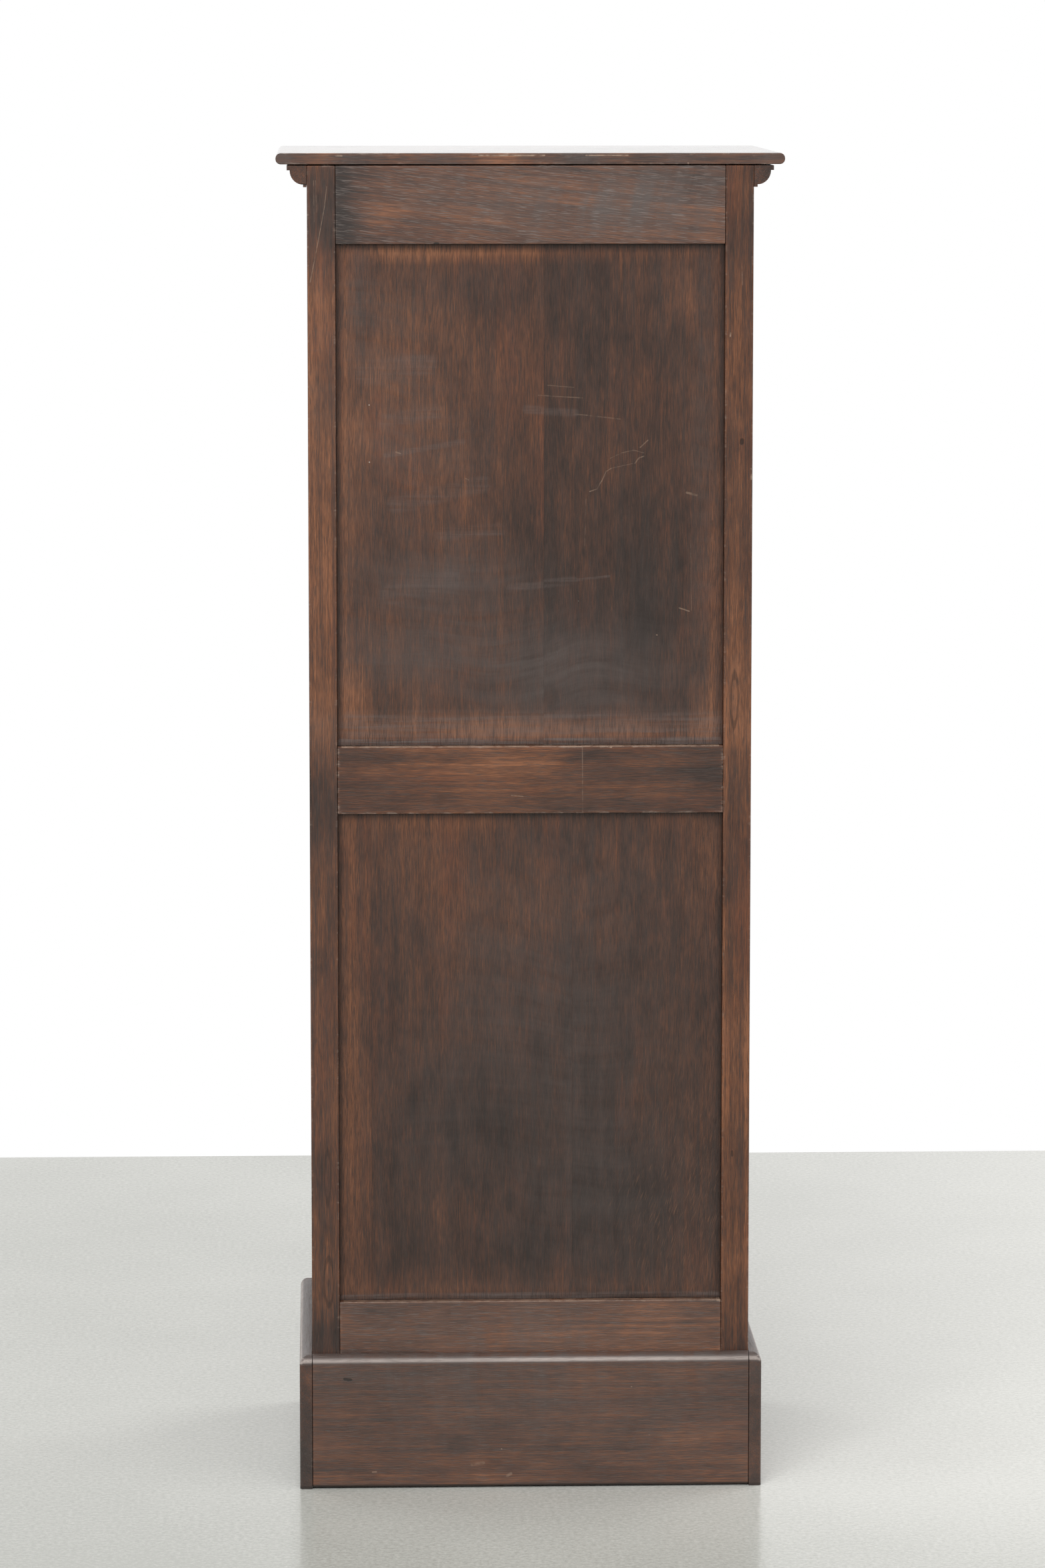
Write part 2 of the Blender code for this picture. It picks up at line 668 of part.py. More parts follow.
def curtain_outline(start, end):
    """A stretch of the curtain: rounded slats outside, and the flat canvas inside."""
    count = max(1, round((end - start) / SLAT_PITCH))
    pitch = (end - start) / count
    valley = SLAT_THICKNESS / 2 - SLAT_ROUND
    outside = []
    for slat in range(count):
        for step in range(REED_STEPS):
            angle = math.pi * step / REED_STEPS
            distance = start + pitch * (slat + (1 - math.cos(angle)) / 2)
            outside.append(track_point(distance, valley + SLAT_ROUND * math.sin(angle)))
    outside.append(track_point(end, valley))
    inside = [track_point(stop, -SLAT_THICKNESS / 2) for stop in reversed(track_stops(start, end))]
    return outside + inside


def make_curtain():
    span = (-CURTAIN_HALF, CURTAIN_HALF)
    front = curtain_outline(LEAD_RAIL_HEIGHT + FIT, FRONT_RUN)
    curtain = add_outline("tambour_curtain", [front], *span, SEEN_FROM_RIGHT, DARK_OAK)
    over = curtain_outline(FRONT_RUN + FIT, REAR_RUN_START)
    add_outline("tambour_curtain_top", [over], *span, SEEN_FROM_RIGHT, DARK_OAK)
    top = TRACK_BEND_LEVEL - FIT
    half = SLAT_THICKNESS / 2
    tail = add_box(
        "tail_slat",
        (-CURTAIN_HALF, TRACK_BACK - half, top - TAIL_SLAT_HEIGHT),
        (CURTAIN_HALF, TRACK_BACK + half, top),
        DARK_OAK,
    )
    add_moving("tail_drop", (0.0, TRACK_BACK, top), [tail])
    return curtain


def bolt_space(name, low, high):
    half = BOLT_WIDTH / 2 + FIT
    front = BOLT_FACE - FIT
    return add_box(name, (-half, front, low), (half, BOLT_FACE + BOLT_THICKNESS + FIT, high))


def make_lead_rail():
    foot = SILL + FIT
    head = SILL + LEAD_RAIL_HEIGHT
    half = INNER_HALF - RUN
    rail = add_box("lead_rail", (-half, LEAD_RAIL_FACE, foot), (half, LEAD_RAIL_BACK, head), DARK_OAK)
    tongue_half = SLAT_THICKNESS / 2
    tongue = add_box(
        "lead_rail_tongues",
        (-CURTAIN_HALF, TRACK_FRONT - tongue_half, foot + LEAD_RAIL_TONGUE_INSET),
        (CURTAIN_HALF, TRACK_FRONT + tongue_half, head - LEAD_RAIL_TONGUE_INSET),
    )
    join(rail, tongue)
    mortise_top = foot + BOLT_RETREAT + BOLT_LENGTH + LOCK_ROOM
    cut(rail, bolt_space("lock_mortise", SILL - CUT, mortise_top))
    reach = KEY_BIT_LENGTH + LOCK_ROOM
    bit_space = add_box(
        "key_bit_space",
        (-reach, BIT_FACE - LOCK_ROOM, LOCK_LEVEL - reach),
        (reach, BOLT_FACE, LOCK_LEVEL + reach),
    )
    cut(rail, bit_space)
    cut(rail, add_rod("keyhole", KEYHOLE_RADIUS, (0.0, LOCK_LEVEL), LEAD_RAIL_FACE - CUT, BIT_FACE))
    knobs = []
    for side, sign in (("left", -1), ("right", 1)):
        place = (sign * SHUTTER_KNOB_SPREAD / 2, LEAD_RAIL_FACE, SILL + SHUTTER_KNOB_LEVEL)
        name = f"shutter_knob_{side}"
        knobs.append(add_knob(name, SHUTTER_KNOB_RADIUS, SHUTTER_KNOB_LENGTH, SHUTTER_KNOB_HEAD, place))
        cut(rail, spigot_hole(name, place))
    return [rail, *knobs]


def round_loop(width, height, centre):
    loop = []
    for step in range(2 * TURN_STEPS):
        angle = math.pi * step / TURN_STEPS
        loop.append((centre[0] + width / 2 * math.cos(angle), centre[1] + height / 2 * math.sin(angle)))
    return loop


def make_lock_plate():
    centre = (0.0, LOCK_LEVEL)
    plate = round_loop(LOCK_PLATE_WIDTH, LOCK_PLATE_HEIGHT, centre)
    hole = round_loop(2 * KEYHOLE_RADIUS, 2 * KEYHOLE_RADIUS, centre)
    back = LEAD_RAIL_FACE - FIT
    return add_outline(
        "lock_plate", [plate, hole], -back, LOCK_PLATE_THICKNESS - back, SEEN_FROM_FRONT, BRASS
    )


def make_bolt():
    foot = SILL + FIT + BOLT_RETREAT
    half = BOLT_WIDTH / 2
    low = (-half, BOLT_FACE, foot)
    high = (half, BOLT_FACE + BOLT_THICKNESS, foot + BOLT_LENGTH)
    bolt = add_box("lock_bolt", low, high, STEEL)
    add_moving("bolt_throw", (0.0, BOLT_FACE, foot), [bolt])


def make_key():
    """A key with a ring bow, in the lock, with its bit standing up inside."""
    bow_end = LEAD_RAIL_FACE - KEY_REACH
    centre = (0.0, LOCK_LEVEL)
    key = add_rod("key", KEY_SHANK_RADIUS, centre, bow_end, BIT_FACE + KEY_BIT_THICKNESS, STEEL)
    bpy.ops.mesh.primitive_torus_add(
        major_segments=2 * TURN_STEPS,
        minor_segments=TURN_STEPS // 2,
        major_radius=KEY_BOW_RADIUS,
        minor_radius=KEY_BOW_WIRE,
        location=(0.0, bow_end - KEY_BOW_RADIUS + KEY_BOW_WIRE / 2, LOCK_LEVEL),
        rotation=(0.0, math.pi / 2, 0.0),
    )
    bow = bpy.context.object
    bow.name = "key_bow"
    for collection in list(bow.users_collection):
        collection.objects.unlink(bow)
    HELPERS.objects.link(bow)
    bow.hide_render = True
    bow.display_type = "WIRE"
    join(key, bow)
    half = KEY_BIT_HEIGHT / 2
    bit = add_box(
        "key_bit",
        (-half, BIT_FACE, LOCK_LEVEL),
        (half, BIT_FACE + KEY_BIT_THICKNESS - FIT, LOCK_LEVEL + KEY_BIT_LENGTH),
    )
    join(key, bit)
    add_moving("key_turn", (0.0, LEAD_RAIL_FACE, LOCK_LEVEL), [key])


def make_shutter():
    pieces = [make_curtain(), make_lock_plate(), *make_lead_rail()]
    add_moving("shutter_lift", (0.0, TRACK_FRONT, SILL), pieces)
    make_bolt()
    make_key()


# Drawers


def make_drawer(number):
    name = f"drawer_{number}"
    floor = DRAWER_FLOOR + (number - 1) * DRAWER_PITCH
    ceiling = floor + DRAWER_PITCH - BOARD_THICKNESS
    half = OPENING_HALF - DRAWER_GAP
    front = add_box(
        name + "_front",
        (-half, DRAWER_FACE, floor + DRAWER_GAP),
        (half, DRAWER_FRONT_BACK, ceiling - DRAWER_GAP),
        DARK_OAK,
    )
    knob_place = (0.0, DRAWER_FACE, (floor + ceiling) / 2)
    knob = add_knob(name + "_knob", DRAWER_KNOB_RADIUS, DRAWER_KNOB_LENGTH, DRAWER_KNOB_HEAD, knob_place)
    cut(front, spigot_hole(name + "_knob", knob_place))

    outer = INNER_HALF - RUN
    inner = outer - DRAWER_WALL
    near = DRAWER_BOX_FRONT
    far = near + DRAWER_BOX_DEPTH
    half_box = [(outer, far), (outer, near), (inner, near), (inner, far - DRAWER_WALL)]
    box_outline = half_box + [(-x, y) for x, y in reversed(half_box)]
    foot = floor + DRAWER_LIFT
    head = ceiling - DRAWER_HEADROOM
    box = add_outline(name + "_box", [box_outline], foot, head, SEEN_FROM_ABOVE, DRAWER_WOOD)

    reach = inner + DRAWER_BOTTOM_GROOVE
    depth = (DRAWER_FRONT_BACK - DRAWER_BOTTOM_GROOVE, far - DRAWER_WALL + DRAWER_BOTTOM_GROOVE)
    level = (foot + DRAWER_BOTTOM_LEVEL, foot + DRAWER_BOTTOM_LEVEL + DRAWER_BOTTOM_THICKNESS)
    low = (FIT - reach, depth[0] + FIT, level[0])
    high = (reach - FIT, depth[1] - FIT, level[1])
    bottom = add_box(name + "_bottom", low, high, DRAWER_WOOD)
    level = grown(level, FIT)
    groove = add_box(name + "_groove", (-reach, depth[0], level[0]), (reach, depth[1], level[1]))
    cut(front, groove)
    cut(box, groove)
    add_moving(name + "_slide", (0.0, DRAWER_FACE, floor), [front, knob, box, bottom])


make_top_board()
make_cornice()
make_frame()
make_plinth()
cheek_boards = make_cheeks()
make_inner_boards(cheek_boards)
make_shutter()
for drawer_number in range(1, DRAWER_COUNT + 1):
    make_drawer(drawer_number)
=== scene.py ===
"""Dresses the tambour cabinet: aged oak boards, roll shutter, drawers and lock, on a pale studio floor.

Lengths are in metres.
"""

import json
import math
import random
from types import SimpleNamespace

import bmesh
import bpy
from mathutils import Matrix, Vector


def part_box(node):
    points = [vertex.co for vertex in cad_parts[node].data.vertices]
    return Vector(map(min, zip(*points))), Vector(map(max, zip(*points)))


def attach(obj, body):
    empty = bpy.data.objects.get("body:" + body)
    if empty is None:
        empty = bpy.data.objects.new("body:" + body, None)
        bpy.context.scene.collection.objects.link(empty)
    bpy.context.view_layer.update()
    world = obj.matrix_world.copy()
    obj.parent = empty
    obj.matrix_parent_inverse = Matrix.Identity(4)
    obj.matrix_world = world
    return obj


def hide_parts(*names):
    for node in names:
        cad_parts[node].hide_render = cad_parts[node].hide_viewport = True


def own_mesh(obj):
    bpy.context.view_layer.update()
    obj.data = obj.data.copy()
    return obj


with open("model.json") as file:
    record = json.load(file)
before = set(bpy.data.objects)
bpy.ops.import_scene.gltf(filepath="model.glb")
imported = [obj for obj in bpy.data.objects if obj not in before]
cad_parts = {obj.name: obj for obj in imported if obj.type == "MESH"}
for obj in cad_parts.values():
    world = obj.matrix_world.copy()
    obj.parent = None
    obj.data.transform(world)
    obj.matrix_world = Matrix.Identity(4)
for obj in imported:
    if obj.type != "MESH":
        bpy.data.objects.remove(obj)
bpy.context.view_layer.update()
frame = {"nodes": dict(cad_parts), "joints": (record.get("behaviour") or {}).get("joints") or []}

# Camera, fitted to the photograph
CAMERA_PLACE = (0.2132, 6.1578, 1.5224)
CAMERA_YAW = 1.967
CAMERA_PITCH = 7.405
CAMERA_LENS = 132.7
SENSOR = 36.0

# Studio
FLOOR_EDGE = -1.62  # where the floor ends behind the cabinet, as the camera sees it
FLOOR_REACH = 20.0
AMBIENT = 0.40
LIGHT_SIZE = 3.0
BACK_LIGHT = ((1.2, 4.3, 3.0), 154.0)
FRONT_LEFT_LIGHT = ((-3.9, -2.2, 1.9), 104.0)
FRONT_RIGHT_LIGHT = ((3.6, -2.9, 1.9), 62.0)
TOP_LIGHT = ((0.0, 1.6, 4.4), 70.0)
LIGHT_TARGET = (0.0, 0.0, 0.75)

# Boards
JOINT = 0.0003  # between boards that meet
EDGE_ROUND = 0.0008
TOP_EDGE_ROUND = 0.0007
PLINTH_EDGE_ROUND = 0.0004
BACK_PANEL_EDGE_ROUND = 0.00015
SIDE_PANEL_EDGE_ROUND = 0.0003
DRAWER_EDGE_ROUND = 0.0014
LEAD_RAIL_EDGE_ROUND = 0.002
EDGE_STEPS = 3
ROUND_STEPS = 7
EDGE_BAND = 0.004  # width of the strip along an edge that wears
SHADE_AND_GRIME_BAND = 0.006  # width of the strip along the border of a panel that is painted darker: grime, and painted shade of the recess
RUB_PLACE = 0.0095  # from the border of a panel to the middle of the strip that is rubbed pale
RUB_REACH = 0.0050
FOOT_SHADOW_HEIGHT = 0.0026  # height of the strip along the floor that is painted dark, as painted contact shadow
CREST_START = 0.05  # upward part of the normal where the dust and painted sheen on a rounded edge begin
CREST_RISE = 0.3
LEVEL_START = 0.42  # upward part of the normal where that dust and sheen thin out again
LEVEL_RISE = 0.35
LEVEL_DUST_AND_SHEEN = 0.48  # dust and sheen on a level place, as a share of those on a crest
FOOT_ROUND = 0.0030
GRID_STEP = 0.016
GRID_STRIPS = (0.5, 1.6, 2.4)  # places of the cuts near an end, as shares of the strip along the edge
CUT_NEARNESS = 0.000001
SHARP_ANGLE = math.radians(40)
SMOOTH_ANGLE = math.radians(50)
TOP_ROUND = 0.0054
PLINTH_ROUND = 0.010
PLINTH_CORNER_ROUND = 0.0032

# Cornice
CORNICE_FILLET = 0.0048
CORNICE_STEP = 0.003
CORNICE_FOOT_PROJECTION = 0.0035
CORNICE_FOOT_HEIGHT = 0.0026
CORNICE_ARC_STEPS = 14
CORNICE_RUN_STEPS = 24

# Shutter
SLAT_PITCH = 0.026
SLAT_GAP = 0.0008
SLAT_CROWN = 0.32  # the smaller, the squarer a slat's section
SLAT_STEPS = 14
SLAT_RUN_STEPS = 24
CANVAS_THICKNESS = 0.0008
CANVAS_EDGE_ROUND = 0.0002
CANVAS_GRID_STEP = 0.05

# Lock
KEYHOLE_RADIUS = 0.0033
KEYHOLE_DEPTH = 0.012
KEYHOLE_STEPS = 32
KEYHOLE_CUTTER = 1.6  # length of the cutter, as a share of the hole's depth
LOCK_PLATE_STEPS = 64
LOCK_PLATE_SECTION = (  # share of the way from the keyhole to the rim, and of the thickness
    (0.0, 0.0),
    (0.0, 0.75),
    (0.06, 0.95),
    (0.15, 0.88),
    (0.70, 0.70),
    (0.86, 0.72),
    (0.93, 1.0),
    (0.98, 0.85),
    (1.0, 0.5),
    (1.0, 0.0),
)

# Turned knobs
SPIGOT_LENGTH = 0.010
SPIGOT_RADIUS = 0.004
KNOB_STEPS = 40
KNOB_HEAD_LENGTH = 0.6  # as a share of the knob's length
KNOB_HEAD_STEPS = 14
KNOB_HEAD_ROUND = 0.85  # the smaller, the squarer the head's rim
KNOB_TIP_RADIUS = 0.05  # as a share of the knob's radius
KNOB_TIP_DROP = 0.0001
KNOB_NECK_RADIUS = 0.0064
KNOB_WAIST_DEPTH = 0.0008
KNOB_WAIST_STEPS = 5
KNOB_COLLAR_RADIUS = 0.0088
KNOB_COLLAR_HEIGHT = 0.002
KNOB_COLLAR_BEVEL = 0.0005

# Drawers
DRAWER_COUNT = 3
DRAWER_SIDE = 0.0102  # thickness of a drawer's side, and a little more

NODES = frame["nodes"]


# Shader values


def set_stops(ramp, stops):
    while len(ramp.elements) < len(stops):
        ramp.elements.new(1.0)
    for element, (position, colour) in zip(ramp.elements, stops):
        element.position = position
        element.color = colour


class Value:
    """A value in a material's nodes, which can be used in sums like a number."""

    def __init__(self, tree, socket=None):
        self.tree = tree
        self.socket = socket

    def node(self, kind, settings=None, inputs=None, output=0):
        """Adds a node. Its settings come first, then the values or links of its sockets."""
        node = self.tree.nodes.new(kind)
        for name, setting in (settings or {}).items():
            if name == "stops":
                set_stops(node.color_ramp, setting)
            else:
                setattr(node, name, setting)
        for name, given in (inputs or {}).items():
            if isinstance(given, Value):
                self.tree.links.new(given.socket, node.inputs[name])
            else:
                node.inputs[name].default_value = given
        return Value(self.tree, node.outputs[output] if node.outputs else None)

    def output(self, name):
        """Another output of the same node."""
        return Value(self.tree, self.socket.node.outputs[name])

    def maths(self, operation, first, second=0.0, clamp=False):
        settings = {"operation": operation, "use_clamp": clamp}
        return self.node("ShaderNodeMath", settings, {0: first, 1: second})

    def __add__(self, other):
        return self.maths("ADD", self, other)

    def __sub__(self, other):
        return self.maths("SUBTRACT", self, other)

    def __rsub__(self, other):
        return self.maths("SUBTRACT", other, self)

    def __mul__(self, other):
        return self.maths("MULTIPLY", self, other)

    def larger(self, other):
        return self.maths("MAXIMUM", self, other)

    def sine(self):
        return self.maths("SINE", self)

    def clamped(self):
        return self.maths("ADD", self, 0.0, clamp=True)

    def rise(self, low, high):
        """0 below low, 1 above high, and a smooth step between."""
        inputs = {"Value": self, "From Min": low, "From Max": high}
        return self.node("ShaderNodeMapRange", {"interpolation_type": "SMOOTHSTEP"}, inputs)

    def vector(self, operation, *given):
        inputs = dict(enumerate((self, *given)))
        return self.node("ShaderNodeVectorMath", {"operation": operation}, inputs)

    def length(self):
        return self.node("ShaderNodeVectorMath", {"operation": "LENGTH"}, {0: self}, "Value")

    def noise(self, scale, detail=2.0, roughness=0.5):
        """Noise at this place, stretched by its scale along each axis."""
        inputs = {
            "Vector": self.vector("MULTIPLY", scale),
            "Scale": 1.0,
            "Detail": detail,
            "Roughness": roughness,
        }
        return self.node("ShaderNodeTexNoise", {}, inputs)

    def parts(self):
        split = self.node("ShaderNodeSeparateXYZ", {}, {0: self})
        return split, split.output("Y"), split.output("Z")

    def joined(self, x, y, z):
        return self.node("ShaderNodeCombineXYZ", {}, {0: x, 1: y, 2: z})

    def blend(self, first, second, factor):
        """Mixes two colours."""
        return self.node("ShaderNodeMix", {"data_type": "RGBA"}, {0: factor, 6: first, 7: second}, 2)

    def ramp(self, stops):
        return self.node("ShaderNodeValToRGB", {"stops": stops}, {0: self})


def rgb(red, green, blue):
    return red, green, blue, 1.0


def new_material(name):
    """An empty material: its node tree as a value, and a function that gives it its surface."""
    material = bpy.data.materials.new(name)
    material.use_nodes = True
    tree = material.node_tree
    tree.nodes.clear()
    root = Value(tree)

    def finish(inputs):
        shader = root.node("ShaderNodeBsdfPrincipled", {}, inputs)
        root.node("ShaderNodeOutputMaterial", {}, {"Surface": shader})
        return material

    return root, finish


def bump(root, height, distance, strength):
    inputs = {"Strength": strength, "Distance": distance, "Height": height}
    return root.node("ShaderNodeBump", {}, inputs)


def object_place(root):
    return root.node("ShaderNodeTexCoord", {}, {}, "Object")


def attribute(root, name):
    """A value that the points of a mesh carry."""
    return root.node("ShaderNodeAttribute", {"attribute_name": name}, {}, "Vector")


# Wood

DARK_OAK_TONES = (
    (0.0, rgb(0.019, 0.012, 0.0095)),
    (0.28, rgb(0.044, 0.023, 0.0165)),
    (0.52, rgb(0.084, 0.036, 0.021)),
    (0.78, rgb(0.150, 0.060, 0.029)),
    (1.0, rgb(0.240, 0.098, 0.047)),
)
INNER_OAK_TONES = (
    (0.0, rgb(0.085, 0.045, 0.025)),
    (0.4, rgb(0.165, 0.088, 0.046)),
    (0.7, rgb(0.230, 0.130, 0.070)),
    (1.0, rgb(0.310, 0.190, 0.110)),
)
DRAWER_WOOD_TONES = (
    (0.0, rgb(0.180, 0.105, 0.055)),
    (0.4, rgb(0.300, 0.185, 0.100)),
    (0.7, rgb(0.390, 0.250, 0.145)),
    (1.0, rgb(0.480, 0.330, 0.210)),
)
RED_STAIN = rgb(0.150, 0.047, 0.023)
BLOOM = rgb(0.082, 0.064, 0.058)
# pale dust, and painted sheen, on the crests of rounded upper edges
DUST_AND_SHEEN = rgb(0.370, 0.315, 0.290)
PALE_PORE = rgb(0.200, 0.165, 0.150)
DARK_PORE = rgb(0.014, 0.009, 0.007)
BARE_EDGE = rgb(0.330, 0.250, 0.205)
FLECK = rgb(0.210, 0.105, 0.060)
# grime, and painted shade: dark in dents, along the recessed borders of panels, and as painted contact shadow
# at the plinth's foot
SHADE_AND_GRIME = rgb(0.012, 0.008, 0.006)
SPECK = rgb(0.550, 0.500, 0.440)
SCRATCH = rgb(0.300, 0.205, 0.148)
SMEAR = rgb(0.128, 0.101, 0.093)
KNOT_RINGS = 10.0
LINE_CORE = 0.4  # share of a line's width that shows in full strength
LEAST_RUN = 0.00001  # keeps a line that is a mere point from having no length

# Scales of the noise in the wood: along the grain and across it
BEND_SCALE = (2.2, 15.0, 15.0)
BAND_SCALE = (1.3, 60.0, 60.0)
STRAND_SCALE = (2.6, 190.0, 190.0)
FIBRE_SCALE = (16.0, 640.0, 640.0)
FINE_SCALE = (75.0, 1700.0, 1700.0)
PORE_SCALE = (65.0, 1450.0, 1450.0)
MOTTLE_SCALE = (20.0, 60.0, 60.0)
CLOUD_SCALE = (6.0, 10.0, 10.0)
RED_SCALE = (5.0, 26.0, 26.0)
SWEEP_SCALE = (2.0, 5.0, 5.0)
WIPE_SCALE = (60.0, 5.0, 5.0)
BRUSH_SCALE = (240.0, 10.0, 10.0)
RAY_SCALE = (60.0, 1000.0, 1000.0)
NIBBLE_SCALE = (90.0, 90.0, 260.0)
SCRATCH_SCALE = (110.0, 110.0, 110.0)
KNOT_SCALE = (80.0, 80.0, 26.0)
PATCH_SCALE = (4.0, 4.0, 4.0)
BEND_REACH = 0.010
SWEEP_REACH = 0.11
RAY_SLANT = 0.30
SPECK_CELLS = 60.0
OAK_RELIEF = 0.0006

# Change of the grain with height, for boards that share a material
GRAIN_CHANGES = 5.3  # per metre
GRAIN_SHIFT = (1.7, 0.9, 2.3)


def line_mask(place, lines):
    """How far a place lies on one of the lines, each between two points (x, z) of the back."""
    mask = None
    for start, end, width, strength in lines:
        run = Vector((end[0] - start[0], 0.0, end[1] - start[1] + LEAST_RUN))
        flat = place.vector("MULTIPLY", (1.0, 0.0, 1.0))
        offset = flat.vector("SUBTRACT", (start[0], 0.0, start[1]))
        inputs = {0: offset, 1: run / run.length_squared}
        share = offset.node("ShaderNodeVectorMath", {"operation": "DOT_PRODUCT"}, inputs, "Value").clamped()
        nearest = share.joined(share * run.x, 0.0, share * run.z)
        distance = offset.vector("SUBTRACT", nearest).length()
        line = (1 - distance.rise(width * LINE_CORE, width)) * strength
        mask = line if mask is None else mask.larger(line)
    return mask


def knot_mask(place, knots):
    """Dark year rings about the heart (x, z) of each figure, out to its half width and half height."""
    mask = None
    wobble = place.noise(KNOT_SCALE, 2.0)
    for x, z, half_width, half_height in knots:
        shrink = (1 / half_width, 0.0, 1 / half_height)
        share = place.vector("SUBTRACT", (x, 0.0, z)).vector("MULTIPLY", shrink)
        reach = share.length() + wobble * 0.5
        rings = (reach * KNOT_RINGS).sine().rise(0.1, 0.9) * (1 - reach.rise(0.9, 1.5))
        mask = rings if mask is None else mask.larger(rings)
    return mask


def wood_layers(grain):
    """The layers of the wood's figure, from broad clouds to fine fibres and pores."""
    bend = grain.noise(BEND_SCALE, 2.0) - 0.5
    wavy = grain.vector("ADD", bend.joined(0.0, bend * BEND_REACH, bend * BEND_REACH))
    return SimpleNamespace(
        bands=wavy.noise(BAND_SCALE, 3.0, 0.6) - 0.5,
        strands=wavy.noise(STRAND_SCALE, 2.0, 0.6) - 0.5,
        fibres=wavy.noise(FIBRE_SCALE, 2.0, 0.65) - 0.5,
        fine=wavy.noise(FINE_SCALE, 1.0) - 0.5,
        pore=wavy.noise(PORE_SCALE, 1.0).rise(0.56, 0.66),
        mottle=grain.noise(MOTTLE_SCALE, 4.0, 0.65) - 0.5,
        cloud=grain.noise(CLOUD_SCALE, 4.0, 0.6) - 0.5,
    )


def paleness(layers, worn, edge, streaks):
    """How pale the stained wood is, from its figure, its wear and its rubbed edges."""
    lines = layers.bands * 1.3 + layers.strands * 0.7 + layers.fibres * 0.6
    figure = lines * streaks + layers.strands * 0.24 + layers.fibres * 0.34 + layers.fine * 0.80
    figure = figure + layers.mottle * 0.60 + layers.cloud * 0.80
    stain = worn * (layers.strands * 0.9 + 1) * 0.45
    return (figure + stain + edge.larger(0.0) * 0.18 + 0.45).clamped()


def stained(root, grain, level, tones):
    """The stain's colour, with redder patches."""
    red = grain.noise(RED_SCALE, 4.0, 0.65).rise(0.50, 0.72)
    return root.blend(level.ramp(tones), RED_STAIN, red * level * 0.55)


def bloom_film(grain, layers, bloom):
    """How thick the grey film on the wood is, wiped in sweeps across the grain."""
    bend = grain.noise(SWEEP_SCALE, 1.0) - 0.5
    swept = grain.vector("ADD", bend.joined(bend * SWEEP_REACH, 0.0, 0.0))
    wipe = swept.noise(WIPE_SCALE, 4.0, 0.7) - 0.5
    unevenness = layers.mottle * 0.34 - layers.strands * 0.30 - layers.fibres * 0.15 + 0.04
    return (bloom * (wipe * 2.4 + 0.68) + unevenness).clamped()


def add_pores(root, colour, pore, pores, film, dust_and_sheen):
    """Dark pores in clean wood, and pale ones where dust or film fills them."""
    dark = pore * (1 - pores) * (1 - dust_and_sheen) * 0.66
    colour = root.blend(colour, DARK_PORE, dark)
    pale = (pore * (pores + film * 0.5)).clamped()
    return root.blend(colour, PALE_PORE, pale * 0.55)


def ray_flecks(grain):
    """Short pale strokes at a slant to the grain."""
    turn = {"Vector": grain, "Angle": RAY_SLANT}
    slant = grain.node("ShaderNodeVectorRotate", {"rotation_type": "Z_AXIS"}, turn)
    return slant.noise(RAY_SCALE, 1.0).rise(0.59, 0.73)


def specks(place):
    """Small pale splashes, in a few of many cells."""
    cells = place.node("ShaderNodeTexVoronoi", {}, {"Vector": place, "Scale": SPECK_CELLS}, "Distance")
    chance = cells.node("ShaderNodeSeparateColor", {}, {0: cells.output("Color")})
    return (1 - cells.rise(0.02, 0.05)) * chance.rise(0.988, 0.993)


def add_marks(root, place, colour, height, scratches, knots, dents):
    """Adds scratches, the rings of knots and dents to a colour and a relief."""
    if scratches:
        scratched = line_mask(place, scratches)
        broken = scratched * place.noise(SCRATCH_SCALE, 4.0, 0.7).rise(0.30, 0.62)
        colour = root.blend(colour, SCRATCH, broken.clamped())
        height = height - scratched * 0.5
    if knots:
        colour = root.blend(colour, DARK_PORE, knot_mask(place, knots) * 0.5)
    if dents:
        dented = line_mask(place, dents)
        colour = root.blend(colour, SHADE_AND_GRIME, dented)
        height = height - dented * 1.5
    return colour, height


